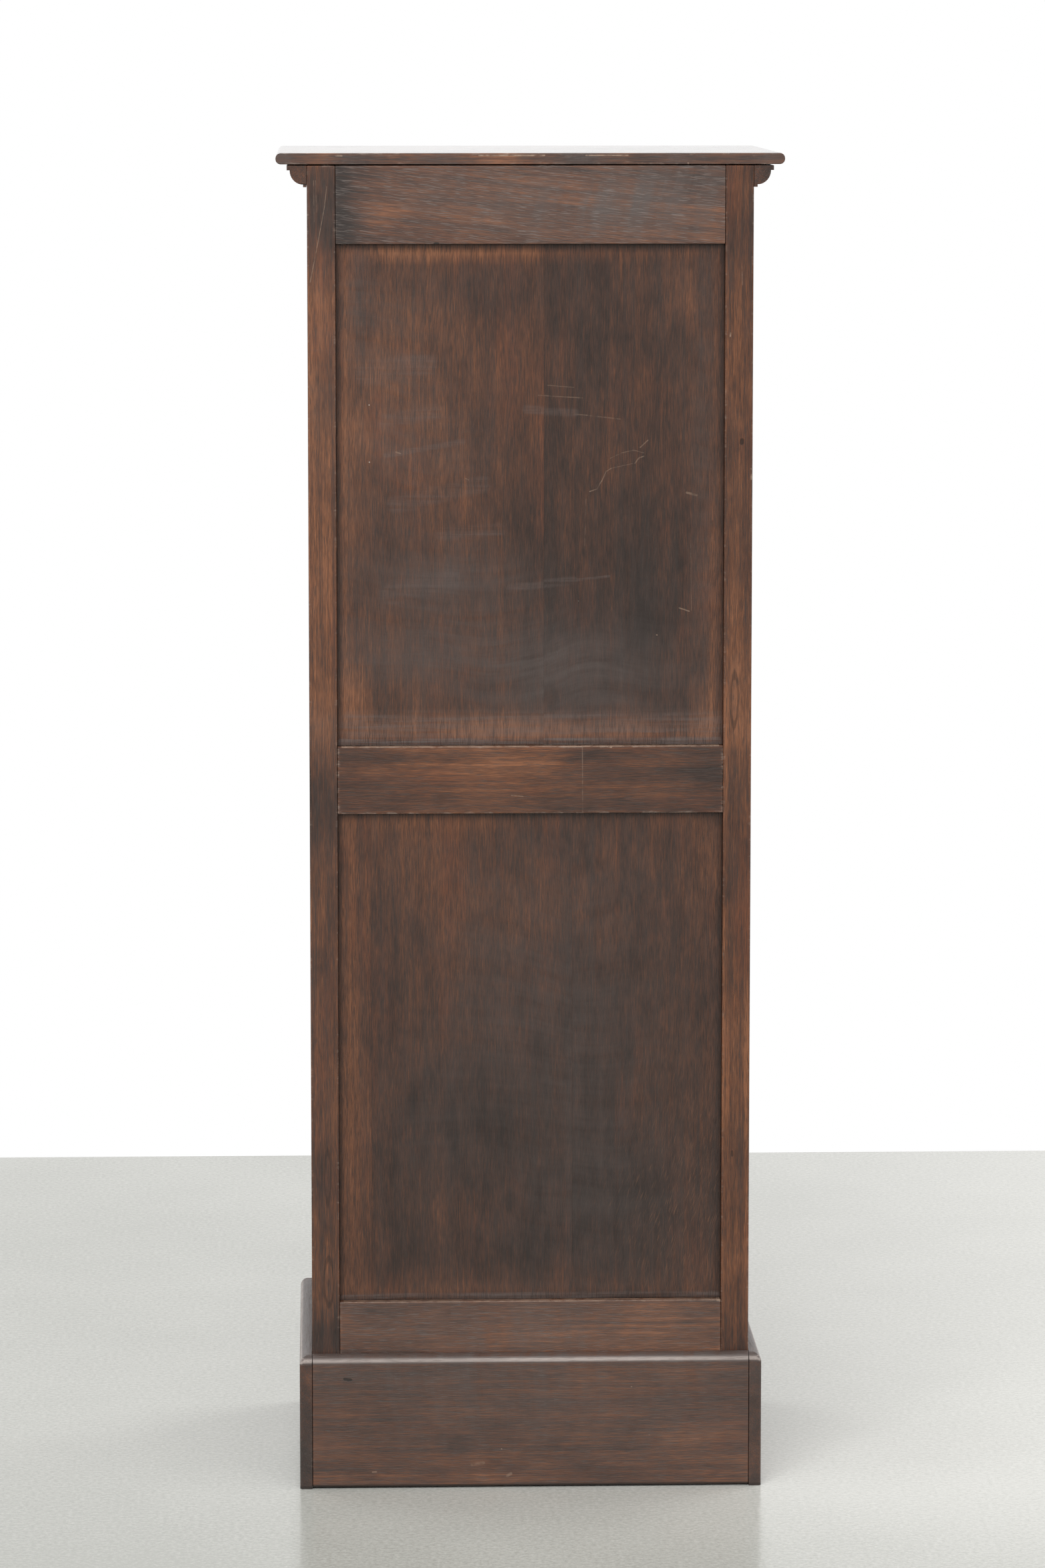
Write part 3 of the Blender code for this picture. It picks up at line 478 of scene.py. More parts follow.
def oak_finish(
    root,
    finish,
    grain,
    place,
    tones,
    wear,
    detail,
    scratches=(),
    dents=(),
    smears=(),
    knots=(),
    gloss=0.36,
    relief=0.55,
    shine=0.43,
):
    """Wood with fibres, pores, patchy stain, bloom, worn edges, specks and the marks of use, with painted
    shade along recessed borders and painted sheen on crests.
    """
    worn, bloom, edge = wear
    pores, flecks, streaks = detail
    layers = wood_layers(grain)
    level = paleness(layers, worn, edge, streaks)
    colour = stained(root, grain, level, tones)

    film = bloom_film(grain, layers, bloom)
    colour = root.blend(colour, BLOOM, film)
    if smears:
        brush = grain.noise(BRUSH_SCALE, 4.0, 0.7).rise(0.30, 0.74)
        colour = root.blend(colour, SMEAR, (line_mask(place, smears) * brush).clamped())
    # Pale dust and painted sheen where the bloom goes beyond one, on the crests of rounded upper edges
    dust_and_sheen = ((bloom - 1).clamped() * (layers.mottle + layers.cloud * 1.4 + 1)).clamped()
    colour = root.blend(colour, DUST_AND_SHEEN, dust_and_sheen)
    colour = add_pores(root, colour, layers.pore, pores, film, dust_and_sheen)
    colour = root.blend(colour, FLECK, ray_flecks(grain) * flecks)

    nibble = place.noise(NIBBLE_SCALE, 3.0, 0.6) + edge * 0.30
    bare = (nibble.rise(0.62, 0.90) * edge.larger(0.0)).clamped()
    colour = root.blend(colour, BARE_EDGE, bare)
    # Below zero the edge value paints darkness: grime and painted shade along a panel's recessed border, and
    # painted contact shadow along the plinth's foot
    corner = (0 - edge).larger(0.0)
    colour = root.blend(colour, SHADE_AND_GRIME, (corner * (nibble * 0.5 + 0.75)).clamped() * 0.85)
    colour = root.blend(colour, SPECK, specks(place) * 0.7)

    height = layers.fibres * 0.4 + layers.fine * 0.25 - layers.pore * 0.5 - bare * 0.5 + layers.cloud * 0.3
    colour, height = add_marks(root, place, colour, height, scratches, knots, dents)
    rough = film * 0.10 + layers.pore * 0.10 + bare * 0.18 + corner * 0.2 - level * 0.05
    rough = rough + (layers.fibres * 0.2 + gloss)
    return finish(
        {
            "Base Color": colour,
            "Roughness": rough.clamped(),
            "Normal": bump(root, height, OAK_RELIEF, relief),
            "Specular IOR Level": shine,
        }
    )


def painted_oak(name, **looks):
    """Dark oak for boards that carry their own grain and wear."""
    root, finish = new_material(name)
    grain = attribute(root, "grain")
    wear = attribute(root, "wear").parts()
    detail = attribute(root, "detail").parts()
    return oak_finish(root, finish, grain, object_place(root), DARK_OAK_TONES, wear, detail, **looks)


def plain_wood(name, axis, tones, worn, gloss, cross=0.0):
    """Wood for a board without its own wear, its grain along one axis, or along x up to a place across."""
    root, finish = new_material(name)
    place = object_place(root)
    x, y, z = place.parts()
    turned = {0: (x, y, z), 1: (y, x, z), 2: (z, x, y)}
    grain = root.joined(*turned[axis])
    if cross:
        side = x.maths("GREATER_THAN", x.maths("ABSOLUTE", x), cross)
        mix = {"data_type": "VECTOR"}
        grain = root.node("ShaderNodeMix", mix, {0: side, 4: root.joined(x, y, z), 5: grain}, 1)
    shift = z.maths("FLOOR", z * GRAIN_CHANGES)
    grain = grain.vector("ADD", root.joined(*(shift * step for step in GRAIN_SHIFT)))
    patch = place.noise(PATCH_SCALE, 2.0)
    none = patch * 0.0
    wear = (patch - 0.5 + worn, patch * 0.25, none)
    detail = (patch * 0.2, none, none + 0.7)
    return oak_finish(root, finish, grain, place, tones, wear, detail, gloss=gloss)


# Metal and canvas

CANVAS_CLEAN = rgb(0.36, 0.30, 0.22)
CANVAS_SOILED = rgb(0.16, 0.125, 0.085)
WEAVE = 5200.0  # radians of the threads' wave per metre
FILM_SCALE = (160.0, 160.0, 160.0)
RUB_SCALE = (900.0, 900.0, 120.0)
PIT_SCALE = (1400.0, 1400.0, 1400.0)
SOIL_SCALE = (9.0, 9.0, 9.0)
METAL_RELIEF = 0.0002
CANVAS_RELIEF = 0.0002


def metal(name, bright, dull, stain, gloss):
    """Old metal with a dull film, small pits and rubbed places."""
    root, finish = new_material(name)
    place = object_place(root)
    film = place.noise(FILM_SCALE, 4.0, 0.65).rise(0.38, 0.68)
    rub = place.noise(RUB_SCALE, 2.0, 0.5)
    pits = place.noise(PIT_SCALE, 1.0).rise(0.66, 0.74)
    colour = root.blend(bright, dull, film)
    colour = root.blend(colour, stain, pits * 0.8)
    return finish(
        {
            "Base Color": colour,
            "Metallic": 1.0,
            "Roughness": (film * 0.24 + rub * 0.12 + gloss).clamped(),
            "Normal": bump(root, rub * 0.4 - pits, METAL_RELIEF, 0.4),
        }
    )


def canvas():
    root, finish = new_material("canvas_backing")
    place = object_place(root)
    x, _, z = place.parts()
    weave = (x * WEAVE).sine() * (z * WEAVE).sine()
    soil = place.noise(SOIL_SCALE, 4.0, 0.6)
    colour = root.blend(CANVAS_CLEAN, CANVAS_SOILED, (soil * 1.3 - 0.2 + weave * 0.15).clamped())
    return finish({"Base Color": colour, "Roughness": 0.9, "Normal": bump(root, weave, CANVAS_RELIEF, 0.5)})


# How meshes and boards are made and aged


def mesh_of(name, bm):
    mesh = bpy.data.meshes.new(name)
    bm.to_mesh(mesh)
    bm.free()
    return mesh


def add_object(name, data):
    thing = bpy.data.objects.new(name, data)
    bpy.context.scene.collection.objects.link(thing)
    return thing


def oval_ring(bm, centre, half_width, half_height, y, steps):
    """Points round an oval that faces the front, about a centre (x, z)."""
    ring = []
    for step in range(steps):
        angle = 2 * math.pi * step / steps
        x = centre[0] + half_width * math.cos(angle)
        z = centre[1] + half_height * math.sin(angle)
        ring.append(bm.verts.new((x, y, z)))
    return ring


def skin(bm, rings):
    """Puts faces between each closed ring of points and the next."""
    for first, second in zip(rings, rings[1:]):
        for i in range(len(first)):
            j = (i + 1) % len(first)
            bm.faces.new((first[i], first[j], second[j], second[i]))


def side_of(face):
    """The side of a board that a face is on, such as "+z"."""
    axis = max(range(3), key=lambda i: abs(face.normal[i]))
    return ("+" if face.normal[axis] > 0 else "-") + "xyz"[axis]


def bevel(bm, edges, radius, steps):
    bmesh.ops.bevel(
        bm, geom=edges, offset=radius, segments=steps, profile=0.5, affect="EDGES", clamp_overlap=True
    )


def round_edges(bm, pairs, radius):
    """Rounds the edges between the named pairs of sides."""
    bm.normal_update()
    wanted = [set(pair) for pair in pairs]
    edges = [edge for edge in bm.edges if {side_of(face) for face in edge.link_faces} in wanted]
    bevel(bm, edges, radius, ROUND_STEPS)


def soften(bm, radius):
    """Rounds every sharp edge a little."""
    bm.normal_update()
    sharp = [edge for edge in bm.edges if edge.calc_face_angle(0.0) > SHARP_ANGLE]
    bevel(bm, sharp, radius, EDGE_STEPS)


def grid_stops(low, high, step, band):
    """Places of the cuts along one axis of a board: a strip at each end, and even steps between."""
    if high - low < 4 * band:
        return [(low + high) / 2]
    inner = (low + band, high - band)
    count = max(1, round((inner[1] - inner[0]) / step))
    even = [inner[0] + (inner[1] - inner[0]) * i / count for i in range(count + 1)]
    strips = [band * share for share in GRID_STRIPS]
    return [low + strip for strip in strips] + even + [high - strip for strip in strips]


def cut_grid(bm, low, high, step, band):
    """Cuts the faces of a board into a grid, fine enough to carry its wear."""
    for axis in range(3):
        normal = Vector((0.0, 0.0, 0.0))
        normal[axis] = 1.0
        for stop in grid_stops(low[axis], high[axis], step, band):
            everything = [*bm.verts, *bm.edges, *bm.faces]
            bmesh.ops.bisect_plane(
                bm, geom=everything, plane_co=normal * stop, plane_no=normal, dist=CUT_NEARNESS
            )


def board_solid(low, high, rounds=(), edge=EDGE_ROUND, step=GRID_STEP, band=EDGE_BAND):
    """A board between two corners, with its named edges rounded and the others softened."""
    bm = bmesh.new()
    scale = Matrix.Diagonal((*(high - low), 1.0))
    bmesh.ops.create_cube(bm, size=1.0, matrix=Matrix.Translation((low + high) / 2) @ scale)
    for pairs, radius in rounds:
        round_edges(bm, pairs, radius)
    soften(bm, edge)
    cut_grid(bm, low, high, step, band)
    for vertex in bm.verts:
        for axis in range(3):
            vertex.co[axis] = min(max(vertex.co[axis], low[axis]), high[axis])
    return bm


def soft_fall(distance, reach):
    share = min(1.0, max(0.0, distance / reach))
    return 1.0 - share * share * (3.0 - 2.0 * share)


def face_axes(low, high):
    """The axes across and up the widest face of a board."""
    size = high - low
    flat = min(range(3), key=lambda i: size[i])
    up = 1 if flat == 2 else 2
    return 3 - flat - up, up


def chance_spots(rng):
    """Patches where the stain has worn, darkened or bloomed, as shares of the face."""
    spots = []
    for _ in range(rng.randint(4, 7)):
        bloomed = rng.uniform(0.2, 0.6) if rng.random() < 0.35 else 0.0
        place = (rng.random(), rng.random())
        reach = (rng.uniform(0.07, 0.35), rng.uniform(0.07, 0.30))
        spots.append((*place, *reach, rng.uniform(-0.55, 0.65), bloomed))
    return spots


NO_FLECKS = (0.5, 0.5, 1.0, 1.0, 0.0)


def patch_fall(u, v, patch_u, patch_v, reach_u, reach_v):
    """How strongly a patch shows at a place: fully in its middle, and less with distance."""
    return math.exp(-(((u - patch_u) / reach_u) ** 2) - ((v - patch_v) / reach_v) ** 2)


def crest_dust_and_sheen(lift):
    """How much dust and painted sheen lie on a rounded upper edge, where lift is the upward part of its
    normal.
    """
    sloping = 1.0 - soft_fall(lift - CREST_START, CREST_RISE)
    return sloping * (LEVEL_DUST_AND_SHEEN + (1.0 - LEVEL_DUST_AND_SHEEN) * soft_fall(lift - LEVEL_START, LEVEL_RISE))


def age(
    bm,
    name,
    low,
    high,
    grain,
    spots=None,
    pores=0.3,
    flecks=NO_FLECKS,
    streaks=0.6,
    edge_wear=0.4,
    band=EDGE_BAND,
    crown_dust_and_sheen=0.0,
    rub=0.0,
    slope=0.0,
    tone=0.0,
):
    """Gives every point of a board its place in the grain, its stain and its wear, with painted shade and
    painted sheen.
    """
    bm.normal_update()
    rng = random.Random(name)
    shift = [rng.uniform(0.0, 8.0) for _ in range(3)]
    spots = chance_spots(rng) if spots is None else spots
    *fleck_patch, fleck_strength = flecks
    across, up = face_axes(low, high)
    size = high - low
    others = [axis for axis in range(3) if axis != grain]
    grain_layer = bm.verts.layers.float_vector.new("grain")
    wear_layer = bm.verts.layers.float_vector.new("wear")
    detail_layer = bm.verts.layers.float_vector.new("detail")
    for vertex in bm.verts:
        place = vertex.co
        along = place[grain] + shift[0]
        first = place[others[0]] + shift[1]
        second = place[others[1]] + shift[2] - slope * place[grain]
        vertex[grain_layer] = (along, first, second)
        u = (high[across] - place[across]) / size[across]
        v = (high[up] - place[up]) / size[up]
        worn = tone
        bloom = 0.0
        for *patch, patch_worn, patch_bloom in spots:
            fall = patch_fall(u, v, *patch)
            worn += patch_worn * fall
            bloom += patch_bloom * fall
        gaps = sorted(min(place[i] - low[i], high[i] - place[i]) for i in range(3))
        # A negative edge wear paints a panel's border darker: grime, and painted shade of its recess
        edge = edge_wear * soft_fall(gaps[1], band)
        worn += rub * math.exp(-(((gaps[1] - RUB_PLACE) / RUB_REACH) ** 2))
        if crown_dust_and_sheen:
            # pale dust and painted sheen along the crest of a rounded upper edge, from the upward part of its
            # normal
            bloom = max(bloom, crest_dust_and_sheen(vertex.normal.z) * (1.0 + crown_dust_and_sheen))
            # a strip along the floor painted dark, as painted contact shadow
            edge = -1.0 if place.z < low.z + FOOT_SHADOW_HEIGHT else edge
        vertex[wear_layer] = (worn, bloom, edge)
        vertex[detail_layer] = (pores, fleck_strength * patch_fall(u, v, *fleck_patch), streaks)


def gather(solids):
    """Puts several solids into one mesh."""
    whole = bmesh.new()
    for solid in solids:
        mesh = mesh_of("part", solid)
        whole.from_mesh(mesh)
        bpy.data.meshes.remove(mesh)
    return whole


def add_piece(name, bm, materials, body, nodes):
    """A finished piece, which rides on a body and stands for CAD nodes."""
    bmesh.ops.recalc_face_normals(bm, faces=bm.faces)
    mesh = mesh_of(name, bm)
    mesh.shade_smooth()
    mesh.set_sharp_from_angle(angle=SMOOTH_ANGLE)
    for material in materials:
        mesh.materials.append(material)
    piece = add_object(name, mesh)
    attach(piece, body)
    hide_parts(*nodes)
    return piece


def weigh_normals(piece):
    """Keeps the flat faces of a board flat beside its soft edges."""
    modifier = piece.modifiers.new("flat_faces", "WEIGHTED_NORMAL")
    modifier.keep_sharp = True
    modifier.weight = 100


def add_board(
    node,
    low,
    high,
    grain,
    material,
    body="carcass",
    rounds=(),
    edge=EDGE_ROUND,
    band=EDGE_BAND,
    splits=(),
    steps=None,
    tone=0.0,
    **looks,
):
    """A board in the place of a CAD node. Splits are shares of its width where boards are glued together."""
    across, _ = face_axes(low, high)
    limits = [0.0, *splits, 1.0]
    solids = []
    for number, (start, end) in enumerate(zip(limits, limits[1:])):
        part_low = low.copy()
        part_high = high.copy()
        part_high[across] = high[across] - (high[across] - low[across]) * start
        part_low[across] = high[across] - (high[across] - low[across]) * end
        solid = board_solid(part_low, part_high, rounds, edge, band=band)
        part_tone = tone + (steps or {}).get(number, 0.0)
        age(solid, f"{node} {number}", low, high, grain, tone=part_tone, band=band, **looks)
        solids.append(solid)
    piece = add_piece(f"aged_{node}", gather(solids), [material], body, [node])
    weigh_normals(piece)
    return piece


def between(node, *limits):
    """The box of a node, cut to the space between two others along an axis."""
    low, high = (corner.copy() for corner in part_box(node))
    for axis, below, above in limits:
        low[axis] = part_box(below)[1][axis] + JOINT
        high[axis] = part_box(above)[0][axis] - JOINT
    return low, high


# Scratches, nicks, dents, smears and dust lines on the back, and pale lines along the rails' top edges that
# are partly painted highlight: two points (x, z), a width and a strength

LEFT_POST_SCRATCHES = (
    ((0.2095, 1.366), (0.212, 1.345), 0.0005, 0.45),
    ((0.212, 1.345), (0.2185, 1.31), 0.0005, 0.6),
    ((0.2185, 1.31), (0.227, 1.268), 0.0005, 0.6),
    ((0.221, 1.372), (0.22, 1.34), 0.0005, 0.35),
    ((0.223, 1.372), (0.2225, 1.33), 0.0005, 0.3),
)
RIGHT_POST_SCRATCHES = (
    ((-0.2065, 1.215), (-0.2062, 1.212), 0.0011, 0.8),
    ((-0.2285, 1.075), (-0.2288, 1.064), 0.0012, 0.8),
    ((-0.218, 1.283), (-0.2185, 1.265), 0.0008, 0.3),
)
RIGHT_POST_DENTS = (
    ((-0.219, 1.104), (-0.2187, 1.1015), 0.003, 0.75),
    ((-0.212, 0.356), (-0.2122, 0.352), 0.0018, 0.5),
)
TOP_RAIL_DENTS = (((0.0985, 1.3075), (0.0955, 1.3075), 0.0016, 0.9),)
MIDDLE_RAIL_SCRATCHES = (
    ((-0.054, 0.785), (-0.0545, 0.717), 0.0006, 0.4),
    ((-0.079, 0.7864), (-0.084, 0.7852), 0.0013, 0.95),
    ((-0.07, 0.7864), (-0.0775, 0.7862), 0.0009, 0.6),
    ((0.02, 0.735), (0.008, 0.734), 0.0008, 0.4),
    # a pale line along the whole top edge: wear, and painted highlight on the rounded arris
    ((0.196, 0.7864), (-0.196, 0.7864), 0.0011, 0.8),
)
BOTTOM_RAIL_SCRATCHES = (
    ((-0.197, 0.1975), (-0.2, 0.197), 0.0016, 0.9),
    ((-0.04, 0.1976), (-0.05, 0.1974), 0.001, 0.6),
    # a pale line along the whole top edge: wear, and painted highlight on the rounded arris
    ((0.196, 0.1977), (-0.196, 0.1977), 0.0011, 0.45),
)
PLINTH_SCRATCHES = (
    ((-0.106, 0.108), (-0.1062, 0.1078), 0.0009, 0.8),
    ((0.031, 0.042), (0.0308, 0.0418), 0.0008, 0.8),
    ((0.167, 0.018), (0.163, 0.0182), 0.001, 0.6),
    ((-0.125, 0.056), (-0.1252, 0.0558), 0.0008, 0.7),
    ((0.062, 0.025), (0.05, 0.027), 0.0022, 0.35),
    ((0.025, 0.013), (0.021, 0.015), 0.002, 0.45),
)
PLINTH_DENTS = (
    ((0.196, 0.118), (0.19, 0.1172), 0.0022, 0.9),
    ((0.1925, 0.1165), (0.189, 0.117), 0.0016, 0.8),
)
PANEL_SCRATCHES = (
    ((-0.018, 1.1612), (-0.045, 1.159), 0.0007, 0.22),
    ((-0.008, 1.151), (-0.054, 1.148), 0.0008, 0.25),
    ((-0.046, 1.1315), (-0.093, 1.1262), 0.0009, 0.32),
    ((-0.0616, 1.051), (-0.069, 1.0538), 0.0008, 0.42),
    ((-0.069, 1.0538), (-0.0745, 1.0628), 0.0008, 0.42),
    ((-0.0745, 1.0628), (-0.0785, 1.0718), 0.0008, 0.36),
    ((-0.0785, 1.0718), (-0.084, 1.0752), 0.0007, 0.36),
    ((-0.084, 1.0752), (-0.106, 1.08), 0.0006, 0.18),
    ((-0.083, 1.0856), (-0.0948, 1.0911), 0.0006, 0.25),
    ((-0.0948, 1.0911), (-0.1073, 1.0939), 0.0007, 0.29),
    ((-0.1073, 1.0939), (-0.1175, 1.0911), 0.0007, 0.32),
    ((-0.1084, 1.0801), (-0.1124, 1.0856), 0.0009, 0.37),
    ((-0.1124, 1.0856), (-0.1175, 1.0876), 0.0009, 0.37),
    ((-0.1138, 1.0966), (-0.1219, 1.1042), 0.0008, 0.36),
    ((-0.0576, 1.0434), (-0.0566, 0.9917), 0.0005, 0.18),
    ((-0.1625, 1.0497), (-0.1727, 1.047), 0.0016, 0.36),
    ((-0.1666, 1.0007), (-0.1676, 0.9269), 0.0005, 0.22),
    ((-0.1551, 0.9296), (-0.1652, 0.9262), 0.0009, 0.47),
    ((-0.1317, 0.9016), (-0.1319, 0.9014), 0.001, 0.68),
    ((0.139, 1.0925), (0.1345, 1.091), 0.0011, 0.4),
    ((0.067, 1.065), (0.064, 1.0635), 0.0008, 0.29),
)
PANEL_SMEARS = (
    ((0.17, 1.173), (0.108, 1.1835), 0.016, 0.3),
    ((0.15, 1.124), (0.098, 1.134), 0.01, 0.26),
    ((0.15, 1.089), (0.07, 1.103), 0.004, 0.32),
    ((0.14, 1.038), (0.05, 1.059), 0.012, 0.28),
    ((0.09, 1.0065), (0.032, 1.012), 0.009, 0.34),
    ((0.145, 0.945), (0.083, 0.9585), 0.016, 0.28),
    ((0.02, 0.951), (-0.0447, 0.959), 0.006, 0.32),
    ((-0.0312, 0.9572), (-0.0819, 0.9628), 0.0018, 0.5),
    ((0.004, 1.1365), (-0.046, 1.1325), 0.006, 0.32),
    ((0.185, 0.808), (-0.19, 0.808), 0.019, 0.55),
    ((0.196, 0.7893), (-0.196, 0.7893), 0.0065, 1.2),
)
LOWER_PANEL_SMEARS = (((0.196, 0.2005), (-0.196, 0.2005), 0.006, 0.9),)
TOP_NICKS = (
    ((0.053, 1.3976), (-0.014, 1.3976), 0.0012, 0.85),
    ((-0.057, 1.3976), (-0.1, 1.3976), 0.001, 0.75),
    ((0.2, 1.3974), (0.194, 1.3974), 0.0012, 0.9),
    ((-0.162, 1.39), (-0.1622, 1.388), 0.001, 0.8),
)
CORNICE_CRACKS = (
    ((0.2297, 1.383), (0.2297, 1.368), 0.0009, 0.8),
    ((0.2297, 1.368), (0.2352, 1.3684), 0.0009, 0.9),
)

# Figures of knots on the posts: a place (x, z), half a width and half a height

LEFT_POST_KNOTS = ((0.2125, 0.219, 0.0085, 0.044), (0.213, 0.33, 0.006, 0.05))
RIGHT_POST_KNOTS = ((-0.212, 0.835, 0.007, 0.05),)

# Materials

oak = painted_oak("aged_dark_oak")
polished_oak = painted_oak("polished_top_oak", scratches=TOP_NICKS, gloss=0.06, relief=0.03, shine=0.5)
waxed_oak = painted_oak("waxed_oak", shine=0.6)
left_post_oak = painted_oak("left_post_oak", scratches=LEFT_POST_SCRATCHES, knots=LEFT_POST_KNOTS, shine=0.46)
right_post_oak = painted_oak(
    "right_post_oak",
    scratches=RIGHT_POST_SCRATCHES,
    dents=RIGHT_POST_DENTS,
    knots=RIGHT_POST_KNOTS,
    shine=0.38,
)
top_rail_oak = painted_oak("top_rail_oak", dents=TOP_RAIL_DENTS, shine=0.68)
middle_rail_oak = painted_oak("middle_rail_oak", scratches=MIDDLE_RAIL_SCRATCHES, shine=0.46)
bottom_rail_oak = painted_oak("bottom_rail_oak", scratches=BOTTOM_RAIL_SCRATCHES, shine=0.7)
panel_oak = painted_oak("upper_panel_oak", scratches=PANEL_SCRATCHES, smears=PANEL_SMEARS, shine=0.42)
lower_panel_oak = painted_oak("lower_panel_oak", smears=LOWER_PANEL_SMEARS)
cornice_oak = painted_oak("cornice_oak", dents=CORNICE_CRACKS)
plinth_oak = painted_oak("plinth_oak", scratches=PLINTH_SCRATCHES, dents=PLINTH_DENTS, shine=0.62)
brass = metal("aged_brass", rgb(0.52, 0.36, 0.14), rgb(0.2, 0.135, 0.055), rgb(0.07, 0.05, 0.03), 0.24)
steel = metal("lock_steel", rgb(0.38, 0.37, 0.355), rgb(0.15, 0.14, 0.13), rgb(0.07, 0.04, 0.025), 0.26)

# Wear seen on the back, with a painted highlight under the plinth's crest: each patch is its place across and
# down, its reach, how worn and how bloomed

NO_LIMIT = 9.0  # a reach that takes in the whole board
TOP_EDGE_REACH = 0.12  # of the patches along the top's back edge, to the front


def whole_width(patches):
    """Patches over the whole width of a board: place down it, reach, how worn and how bloomed."""
    return [(0.5, place, NO_LIMIT, *wear) for place, *wear in patches]


TOP_EDGE_PATCHES = (  # place across, reach, how worn and how bloomed
    (0.01, 0.03, -0.5, 0.45),
    (0.09, 0.03, 0.4, 0.0),
    (0.15, 0.03, -0.45, 0.4),
    (0.25, 0.04, 0.3, 0.0),
    (0.33, 0.03, -0.2, 0.35),
    (0.43, 0.045, 0.4, 0.0),
    (0.6, 0.04, -0.55, 0.45),
    (0.68, 0.03, 0.35, 0.0),
    (0.8, 0.05, -0.15, 0.3),
    (0.97, 0.03, 0.2, 0.55),
)
TOP_SPOTS = (
    *((place, 0.0, reach, TOP_EDGE_REACH, *wear) for place, reach, *wear in TOP_EDGE_PATCHES),
    (0.3, 0.55, 0.25, 0.25, 0.25, 0.0),
    (0.7, 0.45, 0.22, 0.3, -0.25, 0.2),
    (0.5, 0.88, 0.35, 0.1, 0.3, 0.0),
)
TOP_RAIL_SPOTS = (
    (0.01, 0.5, 0.04, NO_LIMIT, -1.0, -0.1),
    (0.12, 0.72, 0.05, 0.14, 0.55, 0.0),
    (0.35, 0.3, 0.25, 0.4, 0.35, 0.4),
    (0.6, 0.55, 0.22, 0.4, 0.42, 0.6),
    (0.85, 0.4, 0.16, 0.5, 0.12, 0.85),
    (0.97, 0.75, 0.03, 0.2, 0.4, 0.0),
)
MIDDLE_RAIL_SPOTS = (
    (0.03, 0.4, 0.09, 0.6, -0.12, 0.0),
    (0.4, 0.25, 0.26, 0.32, 1.0, 0.0),
    (0.3, 0.75, 0.2, 0.25, 0.15, 0.0),
    (0.66, 0.15, 0.06, 0.2, -0.45, 0.0),
    (0.82, 0.55, 0.1, 0.4, 0.45, 0.0),
    (0.97, 0.4, 0.06, 0.6, -0.25, 0.0),
)
BOTTOM_RAIL_SPOTS = (
    (0.45, 0.4, 0.34, 0.6, 0.45, 0.5),
    (0.8, 0.4, 0.16, 0.6, 0.42, 0.1),
    (0.9, 0.7, 0.14, 0.4, 0.6, 0.0),
    (0.6, 0.9, 0.4, 0.15, 0.4, 0.0),
)
UPPER_PANEL_SPOTS = (
    (0.3, 0.02, 0.28, 0.012, 0.75, 0.0),
    (0.8, 0.024, 0.16, 0.01, 0.15, 0.0),
    (0.3, 0.085, 0.26, 0.045, -0.35, 0.1),
    (0.05, 0.1, 0.03, 0.12, 0.0, 0.45),
    (0.12, 0.3, 0.1, 0.26, 0.5, 0.15),
    (0.25, 0.42, 0.16, 0.14, 0.12, 0.22),
    (0.48, 0.22, 0.05, 0.22, 0.06, 0.0),
    (0.5, 0.55, 0.08, 0.22, -0.36, -0.1),
    (0.86, 0.1, 0.14, 0.1, 0.3, 0.05),
    (0.9, 0.05, 0.1, 0.05, 0.28, 0.05),
    (0.25, 0.5, 0.05, 0.36, 0.12, 0.0),
    (0.92, 0.65, 0.06, 0.1, -0.22, 0.0),
    (0.38, 0.35, 0.07, 0.3, -0.15, 0.0),
    (0.72, 0.35, 0.15, 0.4, -0.3, -0.05),
    (0.8, 0.72, 0.06, 0.14, -0.4, 0.1),
    (0.793, 0.735, 0.022, 0.09, -0.5, 0.0),
    (0.79, 0.28, 0.018, 0.13, 0.45, -0.1),
    (0.7, 0.33, 0.025, 0.2, 0.3, 0.0),
    (0.3, 0.66, 0.2, 0.06, -0.05, 0.5),
    (0.28, 0.8, 0.26, 0.09, 0.05, 0.7),
    (0.62, 0.86, 0.22, 0.09, -0.4, 0.8),
    (0.5, 0.965, 0.42, 0.026, 1.2, 0.2),
    (0.955, 0.95, 0.026, 0.06, 1.25, 0.1),
    (0.95, 0.45, 0.03, 0.4, 0.15, 0.35),
    (0.03, 0.6, 0.02, 0.3, 0.4, 0.15),
    (0.16, 0.25, 0.12, 0.2, 0.2, 0.2),
    (0.04, 0.9, 0.026, 0.06, 0.8, 0.0),
)
LOWER_PANEL_SPOTS = (
    (0.03, 0.45, 0.02, 0.6, 0.4, 0.0),
    (0.03, 0.8, 0.02, 0.12, 0.1, 0.0),
    (0.5, 0.14, 0.6, 0.11, 0.3, 0.06),
    (0.73, 0.22, 0.06, 0.11, 0.26, 0.0),
    (0.74, 0.955, 0.17, 0.035, 0.4, 0.05),
    (0.32, 0.026, 0.3, 0.016, 0.35, 0.0),
    (0.955, 0.06, 0.03, 0.05, 0.65, 0.0),
    (0.05, 0.24, 0.06, 0.16, 0.24, 0.0),
    (0.72, 0.28, 0.05, 0.07, 0.22, 0.0),
    (0.4, 0.33, 0.12, 0.2, 0.25, 0.2),
    (0.18, 0.4, 0.05, 0.3, 0.25, 0.0),
    (0.62, 0.45, 0.2, 0.35, -0.3, 0.35),
    (0.25, 0.62, 0.14, 0.16, -0.25, 0.2),
    (0.7, 0.8, 0.25, 0.14, -0.45, 0.2),
    (0.35, 0.9, 0.22, 0.05, -0.4, 0.0),
    (0.4, 0.975, 0.34, 0.016, 0.3, 0.15),
    (0.94, 0.7, 0.05, 0.25, 0.3, 0.0),
)
LOWER_PANEL_FLECKS = (0.9, 0.82, 0.18, 0.24, 0.45)  # place across and down, reach and strength
